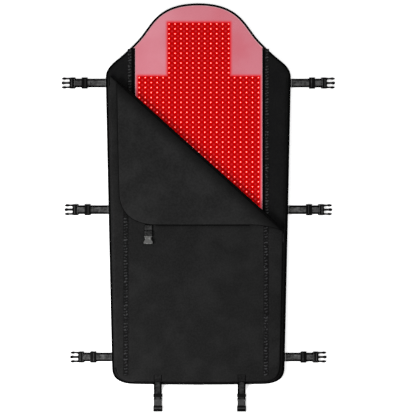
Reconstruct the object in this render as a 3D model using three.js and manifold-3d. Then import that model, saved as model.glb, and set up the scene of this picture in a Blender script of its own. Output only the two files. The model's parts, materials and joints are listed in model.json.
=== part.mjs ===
// Infrared sauna blanket, laid flat: a padded base mat with a hooded head end and a lamp panel,
// closed by a padded cover. The cover is hinged by its seam on the left, zipped on the right and
// round the foot, and its head corner is folded back over it as a flap. Six side straps end in
// male side-release buckles, two end straps and one flap strap in female ones.
// Millimetres. +Z is up, +Y runs from the foot to the head and the zip side is +X. The origin is
// on the floor, in the middle of the whole plan with the straps.
import * as THREE from "three";
import { mergeVertices } from "three/addons/utils/BufferGeometryUtils.js";
import Module from "manifold-3d";

const wasm = await Module();
wasm.setup();

// ---------------------------------------------------------------- driving dimensions

const GAP = 0.4; // left between pieces that touch on the real object
const PAST = 10; // how far a cutting block runs past what it cuts

// Base mat in plan
const MAT_LENGTH = 1800;
const SHOULDER_WIDTH = 874;
const SIDE_TAPER = 30; // the foot is this much narrower on each side
const END_STRAP_OVERHANG = 127; // end buckles' tips past the foot edge
const HOOD_LENGTH = 350; // crown to the start of the straight sides
const HOOD_DOME = 151; // depth of the crown's dome
const HOOD_FLARE = 256; // depth at which the flare turns into the shoulder
const SHOULDER_OVERHANG = 172; // shoulder past the end of the dome
const SHOULDER_ROUND = 67; // shoulder past the end of the flare
const FOOT_CORNER = 76; // length of the rounded corner along the side
const FOOT_FLAT = 107; // the same corner along the foot
const FOOT_BOW = 3.5; // how far the foot edge bows out at its middle
const CORNER_BLUNT = 2; // how far the corner falls short of a square one
const SHOULDER_HANDLE = 45; // handles and slopes of the hood's curve, at its joins
const FLARE_HANDLE = 38.8;
const FLARE_SLOPE = THREE.MathUtils.degToRad(39.4);
const DOME_HANDLE = 41;
const DOME_SLOPE = THREE.MathUtils.degToRad(52.4);
const DOME_FULLNESS = 77;
const CROWN_FULLNESS = 0.68;

// Base mat, heights of its layers from the floor up
const SHELL_WALL = 1.5;
const FOAM = 11.6;
const HEATER = 0.8;
const CIRCUIT = 0.8;
const LAMP_STRIP = 1.3;
const FILM = 1.2;
const BINDING_WIDTH = 7.1;
const BINDING_PROUD = 0.8; // binding over the film
const BINDING_EDGE = 3; // chamfer of the rounded binding
const GUSSET_WIDTH = 6; // pleat under the cover's sewn edge
const GUSSET_DROP = 2; // its top below the cover

// Lamp panel
const SIDE_BORDER = 97; // mat's foot corner to the panel's side edge
const FOOT_BORDER = 76;
const LAMP_PITCH = 28.2; // across the mat
const LAMP_MARGIN = 24; // panel's side edge to its outermost lamps
const STRIP_WIDTH = 5;
const HEAD_MARGIN = 110; // edge of the hood's dome to the outermost lamps in it
const LAMP_SHOULDER = 350; // crown to the end of the full-width block of lamps
const LAMP_CROWN = 86; // crown to the end of the hood's block
const LAMP_FOOT = 12; // panel's foot edge to the strips' bus
const HEATER_MARGIN = 16; // heater past the outermost lamps
const CIRCUIT_MARGIN = 14;

// Ruched seam tapes
const BASE_TAPE = 20;
const COVER_TAPE = 25;
const TAPE = 0.8;
const TAPE_OUTSET = 4; // the panel's edge to the base's tapes
const COVER_TAPE_OUTSETS = { left: 19, right: -4 }; // the panel's edge to the cover's tapes
const TAPE_FROM_FOOT = 45;
const TAPE_FROM_FOLD = 30; // left tape, along the slope
const RIGHT_TAPE_TOP = 120; // right tape's end below the fold's middle

// Cover and its folded flap
const INTERIOR = 7; // room between the panel and the closed cover
const SKIN = 1.5;
const WADDING = 7.8;
const LINING = 1;
const FOLD_GAP = 1.6; // between the cover and the flap that lies on it
const COVER_LEFT = 20; // inset of the cover from the mat's edge
const COVER_RIGHT = 25;
const COVER_FOOT = 15;
const HINGE_INSET = 10; // hinge line of the cover's left seam
const FOLD_FROM_CROWN = 715; // where the fold crosses the middle of the mat
const FOLD_ANGLE = THREE.MathUtils.degToRad(41.9);
const FOLD_SLIT = 2; // cover and flap both stop this far from the fold line
const FLAP_LEFT = 51; // inset of the folded flap's left edge
const FLAP_RIGHT = 2; // flap's zip edge inside the cover's
const FLAP_HEM = 1046; // crown to the flap's hem
const FLAP_CORNER = 142; // height of its rounded corner
const FLAP_CORNER_WIDTH = 168;
const FLAP_CORNER_BLUNT = 9;
const FLAP_TIP_RUN = 150; // length of the hem that dips towards the zip
const FLAP_TIP_DROP = 27;

// Zip
const CHAIN_SIDE = 20; // inset of the chain's middle on the side
const CHAIN_FOOT = 10;
const CHAIN_SPLIT = 0.9; // half the gap between the two rows of teeth
const TEETH = 2.5;
const TEETH_HEIGHT = 3;
const ZIP_TAPE = 1.4;
const ZIP_WALL = 2.6;
const ZIP_REACH = 8; // chain's middle to the outer face of the zip's wall
const SLIDER_FROM_CROWN = 1093.5;
const SLIDER_LENGTH = 14;
const SLIDER_WIDTH = 8.4;
const SLIDER_PLATE = 1.2;
const SLIDER_PLAY = 0.7; // plates to the teeth
const TEETH_DROP = 0.8; // teeth reach this far below the cover
const BRIDGE_WIDTH = 2.4;
const BRIDGE_LENGTH = 6;
const PIVOT_RISE = 2.3; // puller's pin over the upper plate
const PULLER_LENGTH = 34;
const PULLER_WIDTH = 7.6;
const PULLER_PIN = 0.7;
const HEM_TAPE = 5.6; // width of the zip tape that shows along the flap's hem

// Webbing and its adjusters
const SIDE_WEBBING = 38;
const END_WEBBING = 34;
const WEBBING = 1.6;
const BAR = 2.2; // radius of the bars that webbing loops round
const LOOP_RUN = 28; // side adjuster to the buckle's bar
const SIDE_ADJUSTER = 28;
const SIDE_TAIL = 15; // loose end past the adjuster
const KEEPER = 14;
const RAIL_PLAY = 1.5; // webbing's edge to an adjuster's or a male buckle's rail

// Side straps, in rows from the head to the foot
const HEAD_ROW = 376; // from the crown
const MIDDLE_ROW = 974;
const FOOT_ROW = 130.5; // from the foot edge
const STRAP_REACHES = { head: 208, middle: 207, foot: 196 }; // hinge to the buckle's tip
const STRAP_HINGE = 1.8; // hinge line past the mat's edge
const STRAP_HEIGHT = 4; // hinge line over the floor

// Buckles
const FEMALE_RAIL = 4.5; // female buckle past each edge of its webbing
const FEMALE_THICKNESS = 12;
const MOUTH_WALL = 3.5;
const MOUTH_FLOOR = 2;
const FEMALE_WINDOW_PLAY = 1.2;
const MALE_RAIL = 7.5;
const MALE_BLOCK = 27; // bar to the front of the block
const MALE_THICKNESS = 10;
const PRONGS = 38;
const ARM_PLAY = 1; // arms to the side walls of a female buckle's mouth
const ARM_HEIGHT_PLAY = 0.8;
const GUIDE_WIDTH = 8;
const GUIDE_HEIGHT = 4.8;
const BUCKLE_LIFT = 1; // side buckles over the floor
const END_BUCKLE_LIFT = 0.5;

// End straps and flap strap
const END_BUCKLE = 60; // bar to the mouth's rim
const END_WAIST_CUT = 2.5; // waist inside the collar, on each side
const END_STRAP_XS = { left: -191, right: 204 };
const END_HINGE_INSET = 1.5; // cover's foot edge to the hinge line
const END_HINGE_RISE = 1.4; // cover to the middle of the webbing
const PATCH_LENGTH = 30; // webbing sewn down on the cover
const FLAP_BUCKLE = 44;
const FLAP_WAIST_CUT = 7;
const FLAP_STRAP_INSET = 134.8; // flap's left edge to the middle of its strap
const FLAP_STRAP_LENGTH = 47; // hem to the buckle's bar
const FLAP_BUCKLE_LIFT = 1.4; // flap buckle over the cover

// Power inlet and the parts wired to it
const INLET_WIDTH = 32;
const INLET_DEPTH = 24;
const INLET_FLOOR = 1.6; // foam under the inlet
const INLET_ROOF = 1; // inlet to the border fabric over it
const FLANGE_WIDTH = 44; // front plate, set between the ends of the binding
const FLANGE_INSET = 1; // plate's edges to the mat's faces
const SOCKET_WIDTH = 18;
const SOCKET_WALL = 2.25; // above and below the socket
const SOCKET_DEPTH = 14;
const PIN_RADIUS = 1.2;
const PIN_SPACING = 11;
const PIN_START = 8; // foot edge to the pins' tips
const CABLE_WIDTH = 10;
const CABLE = 2;
const CABLE_RUN = 60; // panel's foot edge to the cable's end
const CUTOUT_RADIUS = 10;
const CUTOUT = 6;
const CUTOUT_FROM_FOLD = 140;

// ---------------------------------------------------------------- places worked out from them

const CROWN_Y = (MAT_LENGTH + END_STRAP_OVERHANG) / 2;
const FOOT_Y = CROWN_Y - MAT_LENGTH;
const SHOULDER_HALF = SHOULDER_WIDTH / 2;
const SHOULDER_Y = CROWN_Y - HOOD_LENGTH;
const CORNER_Y = FOOT_Y + FOOT_CORNER;
const CORNER_HALF = SHOULDER_HALF - SIDE_TAPER;
const FLAT_HALF = CORNER_HALF - FOOT_FLAT;
const SIDE_SLOPE = SIDE_TAPER / (SHOULDER_Y - CORNER_Y);
const PANEL_HALF = CORNER_HALF - SIDE_BORDER;
const PANEL_FOOT = FOOT_Y + FOOT_BORDER;

const FOAM_BASE = SHELL_WALL + GAP;
const HEATER_BASE = FOAM_BASE + FOAM + GAP;
const CIRCUIT_BASE = HEATER_BASE + HEATER + GAP;
const STRIP_BASE = CIRCUIT_BASE + CIRCUIT + GAP;
const FILM_BASE = STRIP_BASE + LAMP_STRIP + GAP;
const FILM_TOP = FILM_BASE + FILM;
const BINDING_HEIGHT = FILM_TOP + BINDING_PROUD;

const COVER_BASE = FILM_TOP + INTERIOR;
const COVER_TOP = COVER_BASE + LINING + WADDING + SKIN + 2 * GAP;
const FOLD_Z = COVER_TOP + FOLD_GAP / 2;
const FOLD_Y = CROWN_Y - FOLD_FROM_CROWN;
const HEM_Y = CROWN_Y - FLAP_HEM;

const TEETH_BASE = COVER_BASE - TEETH_DROP;
const LOOP = BAR + GAP + WEBBING / 2; // middle of the webbing round a bar
const WINDOW = LOOP + WEBBING / 2 + 2.3; // far wall of a buckle's webbing window
const MALE_WIDTH = SIDE_WEBBING + 2 * MALE_RAIL;
const FEMALE_WIDTH = END_WEBBING + 2 * FEMALE_RAIL;
const MOUTH_HEIGHT = FEMALE_THICKNESS - 2 * MOUTH_FLOOR;

const sideX = (y) => CORNER_HALF + (y - CORNER_Y) * SIDE_SLOPE;

// ---------------------------------------------------------------- shaping helpers

const solid = (geometry) => {
  const bare = geometry.clone();
  bare.deleteAttribute("normal");
  bare.deleteAttribute("uv");
  const merged = mergeVertices(bare, 1e-3);
  const mesh = new wasm.Mesh({
    numProp: 3,
    vertProperties: merged.attributes.position.array,
    triVerts: new Uint32Array(merged.index.array),
  });
  return new wasm.Manifold(mesh);
};

const geometryOf = (shape) => {
  const { vertProperties, triVerts } = shape.getMesh();
  const geometry = new THREE.BufferGeometry();
  geometry.setAttribute("position", new THREE.BufferAttribute(vertProperties, 3));
  geometry.setIndex(new THREE.BufferAttribute(triVerts, 1));
  return geometry;
};

const cut = (from, ...tools) =>
  geometryOf(tools.reduce((left, tool) => left.subtract(solid(tool)), solid(from)));

const join = (...pieces) =>
  geometryOf(pieces.map(solid).reduce((whole, piece) => whole.add(piece)));

const common = (a, b) => geometryOf(solid(a).intersect(solid(b)));

// A box between two corners.
const block = (x0, x1, y0, y1, z0, z1) =>
  new THREE.BoxGeometry(x1 - x0, y1 - y0, z1 - z0).translate(
    (x0 + x1) / 2,
    (y0 + y1) / 2,
    (z0 + z1) / 2,
  );

// A flat sheet of a plan outline between two heights.
const sheet = (outline, base, top) =>
  new THREE.ExtrudeGeometry(new THREE.Shape(outline), {
    depth: top - base,
    bevelEnabled: false,
  }).translate(0, 0, base);

// A side profile of [x, z] points, extruded across Y and centred on it.
const profile = (points, width) =>
  new THREE.ExtrudeGeometry(new THREE.Shape(points.map(([x, z]) => new THREE.Vector2(x, z))), {
    depth: width,
    bevelEnabled: false,
  })
    .rotateX(Math.PI / 2)
    .translate(0, width / 2, 0);

// Unit normals to the right of a path's direction, lengthened at corners so that an offset keeps
// its distance from both sides.
const normals = (points, closed) =>
  points.map((point, i) => {
    const last = points.length - 1;
    const before = points[i > 0 ? i - 1 : closed ? last : 0];
    const after = points[i < last ? i + 1 : closed ? 0 : last];
    const arrive = point.clone().sub(before).normalize();
    const leave = after.clone().sub(point).normalize();
    if (arrive.lengthSq() === 0) arrive.copy(leave);
    if (leave.lengthSq() === 0) leave.copy(arrive);
    const along = arrive.clone().add(leave).normalize();
    return new THREE.Vector2(along.y, -along.x).divideScalar(along.dot(arrive));
  });

// A closed counter-clockwise outline moved inwards.
const inset = (outline, distance) => {
  const outward = normals(outline, true);
  return outline.map((point, i) => point.clone().addScaledVector(outward[i], -distance));
};

// A closed section of [distance to the right of the path, height] points, swept along a plan path.
const sweep = (path, corners, closed = false) => {
  const flat = corners.map(([out, z]) => new THREE.Vector2(out, z));
  if (THREE.ShapeUtils.isClockWise(flat)) flat.reverse();
  const section = flat.map((corner) => corner.toArray());
  const right = normals(path, closed);
  const rings = path.map((point, i) =>
    section.map(([out, z]) => [point.x + right[i].x * out, point.y + right[i].y * out, z]),
  );
  const count = section.length;
  const index = [];
  const spans = closed ? path.length : path.length - 1;
  for (let i = 0; i < spans; i++) {
    const next = (i + 1) % path.length;
    for (let k = 0; k < count; k++) {
      const a = i * count + k;
      const b = i * count + ((k + 1) % count);
      const c = next * count + k;
      const d = next * count + ((k + 1) % count);
      index.push(a, c, b, b, c, d);
    }
  }
  if (!closed) {
    const end = (path.length - 1) * count;
    for (const [a, b, c] of THREE.ShapeUtils.triangulateShape(flat, [])) {
      index.push(a, b, c, end + a, end + c, end + b);
    }
  }
  const geometry = new THREE.BufferGeometry();
  geometry.setAttribute("position", new THREE.Float32BufferAttribute(rings.flat(2), 3));
  geometry.setIndex(index);
  return geometry;
};

// A ribbon of even thickness along a list of [x, z] points, as a side profile.
const ribbon = (points, thickness) => {
  const path = points.map(([x, z]) => new THREE.Vector2(x, z));
  const right = normals(path, false);
  const side = (distance) =>
    path.map((point, i) => point.clone().addScaledVector(right[i], distance).toArray());
  return [...side(thickness / 2), ...side(-thickness / 2).reverse()];
};

// A rod across Y.
const rod = (radius, width, sides = 10) => new THREE.CylinderGeometry(radius, radius, width, sides);

const root = new THREE.Group();

const finishes = {
  coatedFabric: { color: 0x252525, roughness: 0.62, metalness: 0 },
  binding: { color: 0x0c0c0c, roughness: 0.7, metalness: 0 },
  ruched: { color: 0x2c2c2c, roughness: 0.75, metalness: 0 },
  foam: { color: 0xd8d4c8, roughness: 0.95, metalness: 0 },
  heater: { color: 0x1b1b20, roughness: 0.5, metalness: 0.1 },
  circuit: { color: 0xb86a2a, roughness: 0.45, metalness: 0.3 },
  lamps: { color: 0xff3a2a, roughness: 0.4, metalness: 0 },
  film: { color: 0xd4808c, roughness: 0.3, metalness: 0 },
  webbing: { color: 0x383838, roughness: 0.85, metalness: 0 },
  moulding: { color: 0x1c1c1c, roughness: 0.4, metalness: 0 },
  greyMoulding: { color: 0x5d5d5c, roughness: 0.35, metalness: 0 },
  zipMetal: { color: 0x303032, roughness: 0.3, metalness: 0.8 },
  copper: { color: 0xb87333, roughness: 0.35, metalness: 0.9 },
};

const add = (name, geometry, finish, parent = root) => {
  const mesh = new THREE.Mesh(geometry, new THREE.MeshStandardMaterial(finishes[finish]));
  mesh.name = name;
  parent.add(mesh);
};

// ---------------------------------------------------------------- plan outlines

// The right half of the base mat's edge, from the middle of the foot to the crown.
const matHalf = new THREE.Path();
matHalf.moveTo(0, FOOT_Y);
matHalf.quadraticCurveTo(FLAT_HALF / 2, FOOT_Y, FLAT_HALF, FOOT_Y + FOOT_BOW);
matHalf.quadraticCurveTo(
  CORNER_HALF - CORNER_BLUNT,
  FOOT_Y + FOOT_BOW + CORNER_BLUNT / 2,
  CORNER_HALF,
  CORNER_Y,
);
matHalf.lineTo(SHOULDER_HALF, SHOULDER_Y);
const flare = new THREE.Vector2(SHOULDER_HALF - SHOULDER_ROUND, CROWN_Y - HOOD_FLARE);
const dome = new THREE.Vector2(SHOULDER_HALF - SHOULDER_OVERHANG, CROWN_Y - HOOD_DOME);
const handle = (point, slope, length) =>
  [point.x - length * Math.cos(slope), point.y + length * Math.sin(slope)];
matHalf.bezierCurveTo(
  SHOULDER_HALF,
  SHOULDER_Y + SHOULDER_HANDLE,
  ...handle(flare, FLARE_SLOPE, -FLARE_HANDLE),
  flare.x,
  flare.y,
);
matHalf.bezierCurveTo(
  ...handle(flare, FLARE_SLOPE, FLARE_HANDLE),
  ...handle(dome, DOME_SLOPE, -DOME_HANDLE),
  dome.x,
  dome.y,
);
matHalf.bezierCurveTo(
  ...handle(dome, DOME_SLOPE, DOME_FULLNESS),
  CROWN_FULLNESS * dome.x,
  CROWN_Y,
  0,
  CROWN_Y,
);

const mirrored = (half) => half.map(({ x, y }) => new THREE.Vector2(-x, y)).reverse();
const matRight = matHalf.getPoints(7);
const matOutline = [...matRight, ...mirrored(matRight).slice(1, -1)];

// A run down the right side, round the corner and along the foot, inset from the mat's edge.
const rimRun = (top, side, foot) => {
  const run = new THREE.Path();
  const flatY = FOOT_Y + FOOT_BOW + foot;
  const cornerY = CORNER_Y + foot;
  const cornerX = sideX(cornerY) - side;
  run.moveTo(sideX(top) - side, top);
  run.lineTo(cornerX, cornerY);
  run.quadraticCurveTo(cornerX - CORNER_BLUNT, flatY, FLAT_HALF, flatY);
  run.quadraticCurveTo(FLAT_HALF / 2, flatY - FOOT_BOW, 0, flatY - FOOT_BOW);
  return run.getPoints(7);
};

// ---------------------------------------------------------------- base mat

const sides = [["left", -1], ["right", 1]];
const matInner = inset(matOutline, BINDING_WIDTH + GAP);
const matCore = inset(matOutline, BINDING_WIDTH + 2 * GAP + SHELL_WALL);
const everyHeight = [-PAST, BINDING_HEIGHT + PAST];
const inletBase = FOAM_BASE + INLET_FLOOR;
const inletTop = FILM_BASE - INLET_ROOF;
const pinZ = (inletBase + inletTop) / 2;
const socketHalf = (inletTop - inletBase) / 2 - SOCKET_WALL;
const inletSpace = block(
  -INLET_WIDTH / 2 - GAP,
  INLET_WIDTH / 2 + GAP,
  FOOT_Y - PAST,
  FOOT_Y + INLET_DEPTH + GAP,
  inletBase - GAP,
  FILM_BASE + PAST,
);

// Bottom skin with a low upstanding wall. The inlet comes out through a notch in the wall.
const tray = cut(
  sheet(matInner, 0, FILM_BASE - GAP),
  sheet(inset(matInner, SHELL_WALL), SHELL_WALL, FILM_BASE + PAST),
  inletSpace,
);
add("base_shell", tray, "coatedFabric");

// Folded binding sewn round the whole edge in two lengths, which meet at the crown and end at
// the inlet's front plate.
const bindingSection = [
  [0, BINDING_EDGE],
  [0, BINDING_HEIGHT - BINDING_EDGE],
  [-BINDING_EDGE, BINDING_HEIGHT],
  [-BINDING_WIDTH, BINDING_HEIGHT],
  [-BINDING_WIDTH, 0],
  [-BINDING_EDGE, 0],
];
const bindingRing = sweep(matOutline, bindingSection, true);
const flangeHalf = FLANGE_WIDTH / 2;
for (const [side, sign] of sides) {
  const otherHalf = block(
    -SHOULDER_WIDTH,
    GAP / 2,
    FOOT_Y - PAST,
    CROWN_Y + PAST,
    ...everyHeight,
  );
  const flangeSpace = block(
    -flangeHalf - GAP,
    flangeHalf + GAP,
    FOOT_Y - PAST,
    FOOT_Y + BINDING_WIDTH + PAST,
    ...everyHeight,
  );
  if (sign < 0) otherHalf.rotateZ(Math.PI).translate(0, CROWN_Y + FOOT_Y, 0);
  add("base_binding_" + side, cut(bindingRing, otherHalf, flangeSpace), "binding");
}

// Foam core, with a channel for the cable and pockets for the inlet and the thermal cut-out.
const cableBase = pinZ - CABLE / 2;
const cableFoot = FOOT_Y + INLET_DEPTH + GAP;
const cableEnd = PANEL_FOOT + CABLE_RUN;
const cutoutY = FOLD_Y - CUTOUT_FROM_FOLD;
const cutoutFloor = HEATER_BASE - CUTOUT;
const upright = (radius, base, top) =>
  new THREE.CylinderGeometry(radius, radius, top - base, 24)
    .rotateX(Math.PI / 2)
    .translate(0, cutoutY, (base + top) / 2);
const foam = cut(
  sheet(matCore, FOAM_BASE, FOAM_BASE + FOAM),
  inletSpace,
  block(
    -CABLE_WIDTH / 2 - GAP,
    CABLE_WIDTH / 2 + GAP,
    FOOT_Y,
    cableEnd + GAP,
    cableBase - GAP,
    HEATER_BASE,
  ),
  upright(CUTOUT_RADIUS + GAP, cutoutFloor, HEATER_BASE + PAST),
);
add("base_insulation", foam, "foam");
const cutout = upright(CUTOUT_RADIUS, cutoutFloor + GAP, HEATER_BASE - GAP);
add("thermal_cutout", cutout, "moulding");

// Flat cable from the inlet, which turns up to the heater at its far end.
const cableHalf = CABLE_WIDTH / 2;
add(
  "wiring_harness",
  join(
    block(-cableHalf, cableHalf, cableFoot, cableEnd, cableBase, cableBase + CABLE),
    block(-cableHalf, cableHalf, cableEnd - CABLE, cableEnd, cableBase, HEATER_BASE - GAP),
  ),
  "heater",
);

// Heater sheet and lamp circuit: both follow the full-width block of lamps and its narrower head.
const columns = 2 * Math.floor((PANEL_HALF - LAMP_MARGIN) / LAMP_PITCH) + 1;
const lampHalf = ((columns - 1) / 2) * LAMP_PITCH;
const headHalf = Math.floor((dome.x - HEAD_MARGIN) / LAMP_PITCH) * LAMP_PITCH;
const lampFoot = PANEL_FOOT + LAMP_FOOT;
const lampShoulder = CROWN_Y - LAMP_SHOULDER;
const lampCrown = CROWN_Y - LAMP_CROWN;
const stepped = (spare) =>
  [
    [-lampHalf - spare, lampFoot],
    [lampHalf + spare, lampFoot],
    [lampHalf + spare, lampShoulder],
    [headHalf + spare, lampShoulder],
    [headHalf + spare, lampCrown],
    [-headHalf - spare, lampCrown],
    [-headHalf - spare, lampShoulder],
    [-lampHalf - spare, lampShoulder],
  ].map(([x, y]) => new THREE.Vector2(x, y));
add("heater_sheet", sheet(stepped(HEATER_MARGIN), HEATER_BASE, HEATER_BASE + HEATER), "heater");
add("led_circuit", sheet(stepped(CIRCUIT_MARGIN), CIRCUIT_BASE, CIRCUIT_BASE + CIRCUIT), "circuit");

// Lamp strips: one strip to each column of lamps, joined by a bus along the foot.
const comb = [new THREE.Vector2(-lampHalf - STRIP_WIDTH / 2, lampFoot)];
comb.push(new THREE.Vector2(lampHalf + STRIP_WIDTH / 2, lampFoot));
for (let i = columns - 1; i >= 0; i--) {
  const x = i * LAMP_PITCH - lampHalf;
  const end = Math.abs(x) < headHalf + STRIP_WIDTH ? lampCrown : lampShoulder;
  comb.push(new THREE.Vector2(x + STRIP_WIDTH / 2, end));
  comb.push(new THREE.Vector2(x - STRIP_WIDTH / 2, end));
  if (i > 0) {
    comb.push(new THREE.Vector2(x - STRIP_WIDTH / 2, lampFoot + STRIP_WIDTH));
    comb.push(new THREE.Vector2(x - LAMP_PITCH + STRIP_WIDTH / 2, lampFoot + STRIP_WIDTH));
  }
}
add("lamp_strips", sheet(comb, STRIP_BASE, STRIP_BASE + LAMP_STRIP), "lamps");

// Clear film over the lamps, and the coated fabric border on its two sides and foot.
const top = sheet(matInner, FILM_BASE, FILM_TOP);
const panelArea = (spare) =>
  block(
    -PANEL_HALF - spare,
    PANEL_HALF + spare,
    PANEL_FOOT - spare,
    CROWN_Y + PAST,
    ...everyHeight,
  );
add("light_panel_film", common(top, panelArea(0)), "film");
add("base_top_border", cut(top, panelArea(GAP)), "coatedFabric");

// Ruched tapes on the border, from the flare of the hood to the foot.
const tapeLayer = sheet(matInner, FILM_TOP + GAP, FILM_TOP + GAP + TAPE);
for (const [side, sign] of sides) {
  const inner = sign * (PANEL_HALF + TAPE_OUTSET);
  const outer = inner + sign * BASE_TAPE;
  const run = block(
    Math.min(inner, outer),
    Math.max(inner, outer),
    PANEL_FOOT,
    CROWN_Y,
    ...everyHeight,
  );
  add("base_seam_tape_" + side, common(tapeLayer, run), "ruched");
}

// Pleat under the cover's sewn left edge, from the shoulder round the foot corner.
const gussetInset = HINGE_INSET + GUSSET_WIDTH / 2;
const leftRun = mirrored(
  rimRun(SHOULDER_Y, gussetInset, gussetInset).filter(({ x }) => x > FLAT_HALF - 1),
);
const gussetSection = [
  [-GUSSET_WIDTH / 2, BINDING_HEIGHT + GAP],
  [-GUSSET_WIDTH / 2, COVER_BASE - GUSSET_DROP],
  [GUSSET_WIDTH / 2, COVER_BASE - GUSSET_DROP],
  [GUSSET_WIDTH / 2, BINDING_HEIGHT + GAP],
];
add("base_left_gusset", sweep(leftRun, gussetSection), "coatedFabric");

// Power inlet in the foot edge, with its front plate and its two pins.
const inletSocket = block(
  -SOCKET_WIDTH / 2,
  SOCKET_WIDTH / 2,
  FOOT_Y - PAST,
  FOOT_Y + SOCKET_DEPTH,
  pinZ - socketHalf,
  pinZ + socketHalf,
);
const pinHoles = [-1, 1].map((sign) =>
  rod(PIN_RADIUS + GAP, INLET_DEPTH).translate((sign * PIN_SPACING) / 2, FOOT_Y + INLET_DEPTH, pinZ),
);
const inletBody = join(
  block(-INLET_WIDTH / 2, INLET_WIDTH / 2, FOOT_Y + 1, FOOT_Y + INLET_DEPTH, inletBase, inletTop),
  block(
    -flangeHalf,
    flangeHalf,
    FOOT_Y,
    FOOT_Y + BINDING_WIDTH,
    FLANGE_INSET,
    BINDING_HEIGHT - FLANGE_INSET,
  ),
);
add("power_inlet", cut(inletBody, inletSocket, ...pinHoles), "moulding");
const pinLength = INLET_DEPTH - PIN_START;
for (const [side, sign] of sides) {
  const pin = rod(PIN_RADIUS, pinLength);
  const middle = FOOT_Y + PIN_START + pinLength / 2 - GAP;
  add("inlet_pin_" + side, pin.translate((sign * PIN_SPACING) / 2, middle, pinZ), "copper");
}

// ---------------------------------------------------------------- cover and flap

// Everything on the foot side of the fold line, from a distance to it.
const footSide = (distance) => {
  const far = 4000;
  return new THREE.BoxGeometry(far, far, far)
    .translate(0, -far / 2 - distance, 0)
    .rotateZ(-FOLD_ANGLE)
    .translate(0, FOLD_Y, 0);
};

// Skin, wadding and lining of a padded layer. The skin's edge turns over the other two.
const padded = (name, outline, skinSide, liningSide) => {
  const up = Math.sign(skinSide - liningSide);
  const level = (from, to) => [Math.min(from, to), Math.max(from, to)];
  const inner = inset(outline, SKIN);
  const filling = inset(outline, SKIN + GAP);
  const skinInside = skinSide - up * SKIN;
  const liningInside = liningSide + up * LINING;
  const clipped = (geometry) => common(geometry, footSide(FOLD_SLIT));
  const skin = cut(
    sheet(outline, ...level(skinSide, liningSide)),
    sheet(inner, ...level(skinInside, liningSide - up * PAST)),
  );
  add(name + "_outer", clipped(skin), "coatedFabric");
  const wadding = sheet(filling, ...level(skinInside - up * GAP, liningInside + up * GAP));
  add(name + "_wadding", clipped(wadding), "foam");
  add(name + "_lining", clipped(sheet(filling, ...level(liningSide, liningInside))), "coatedFabric");
};

const coverRight = rimRun(SHOULDER_Y, COVER_RIGHT, COVER_FOOT);
const coverLeft = rimRun(SHOULDER_Y + FOOT_CORNER, COVER_LEFT, COVER_FOOT);
const coverOutline = [...mirrored(coverLeft).reverse(), ...coverRight.slice(0, -1).reverse()];
padded("cover", coverOutline, COVER_TOP, COVER_BASE);

// The flap lies upside down on the cover, so its lining is on top.
const flapShape = new THREE.Path();
const flapLeft = (y) => -(sideX(y) - FLAP_LEFT);
const flapRight = sideX(HEM_Y) - COVER_RIGHT - FLAP_RIGHT;
const flapCornerX = flapLeft(HEM_Y);
flapShape.moveTo(flapLeft(SHOULDER_Y), SHOULDER_Y);
flapShape.lineTo(flapLeft(HEM_Y + FLAP_CORNER), HEM_Y + FLAP_CORNER);
flapShape.quadraticCurveTo(
  flapCornerX + FLAP_CORNER_BLUNT,
  HEM_Y + FLAP_CORNER_BLUNT / 2,
  flapCornerX + FLAP_CORNER_WIDTH,
  HEM_Y,
);
flapShape.lineTo(flapRight - FLAP_TIP_RUN, HEM_Y);
flapShape.quadraticCurveTo(
  flapRight - FLAP_TIP_RUN / 2,
  HEM_Y,
  flapRight,
  HEM_Y - FLAP_TIP_DROP,
);
flapShape.lineTo(flapRight, SHOULDER_Y);
padded("flap", flapShape.getPoints(8), 2 * FOLD_Z - COVER_TOP, 2 * FOLD_Z - COVER_BASE);

// Ruched tapes sewn on the cover, in line with the base's.
const onCover = (thickness) => [COVER_TOP + GAP, COVER_TOP + GAP + thickness];
for (const [side, sign] of sides) {
  const inner = sign * (PANEL_HALF + COVER_TAPE_OUTSETS[side]);
  const outer = inner + sign * COVER_TAPE;
  const tape = block(
    Math.min(inner, outer),
    Math.max(inner, outer),
    FOOT_Y + TAPE_FROM_FOOT,
    sign < 0 ? SHOULDER_Y : FOLD_Y - RIGHT_TAPE_TOP,
    ...onCover(TAPE),
  );
  add("cover_seam_tape_" + side, common(tape, footSide(TAPE_FROM_FOLD)), "ruched");
}

// ---------------------------------------------------------------- zip

const teethTop = TEETH_BASE + TEETH_HEIGHT;
const teethMiddle = (TEETH_BASE + teethTop) / 2;
const tapeLow = teethMiddle - ZIP_TAPE / 2;
const tapeHigh = teethMiddle + ZIP_TAPE / 2;
const teethOut = CHAIN_SPLIT + TEETH;
const sliderY = CROWN_Y - SLIDER_FROM_CROWN;

// One continuous chain path: down the right side, round the corner, along the foot.
const chainPath = (from) => {
  const right = rimRun(from, CHAIN_SIDE, CHAIN_FOOT);
  const left = mirrored(rimRun(from, CHAIN_SIDE, CHAIN_FOOT))
    .slice(1)
    .filter(({ x }) => x > -FLAT_HALF - 1);
  return [...right, ...left];
};

// The mat's half: a row of teeth on a tape that turns down to the rim. To the left of the path's
// direction is the mat's edge.
const matZip = [
  [-CHAIN_SPLIT, TEETH_BASE],
  [-CHAIN_SPLIT, teethTop],
  [-teethOut, teethTop],
  [-teethOut, tapeHigh],
  [-ZIP_REACH, tapeHigh],
  [-ZIP_REACH, BINDING_HEIGHT + GAP],
  [-ZIP_REACH + ZIP_WALL, BINDING_HEIGHT + GAP],
  [-ZIP_REACH + ZIP_WALL, tapeLow],
  [-teethOut, tapeLow],
  [-teethOut, TEETH_BASE],
];
add("zip_tape_base", sweep(chainPath(SHOULDER_Y), matZip), "coatedFabric");

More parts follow.
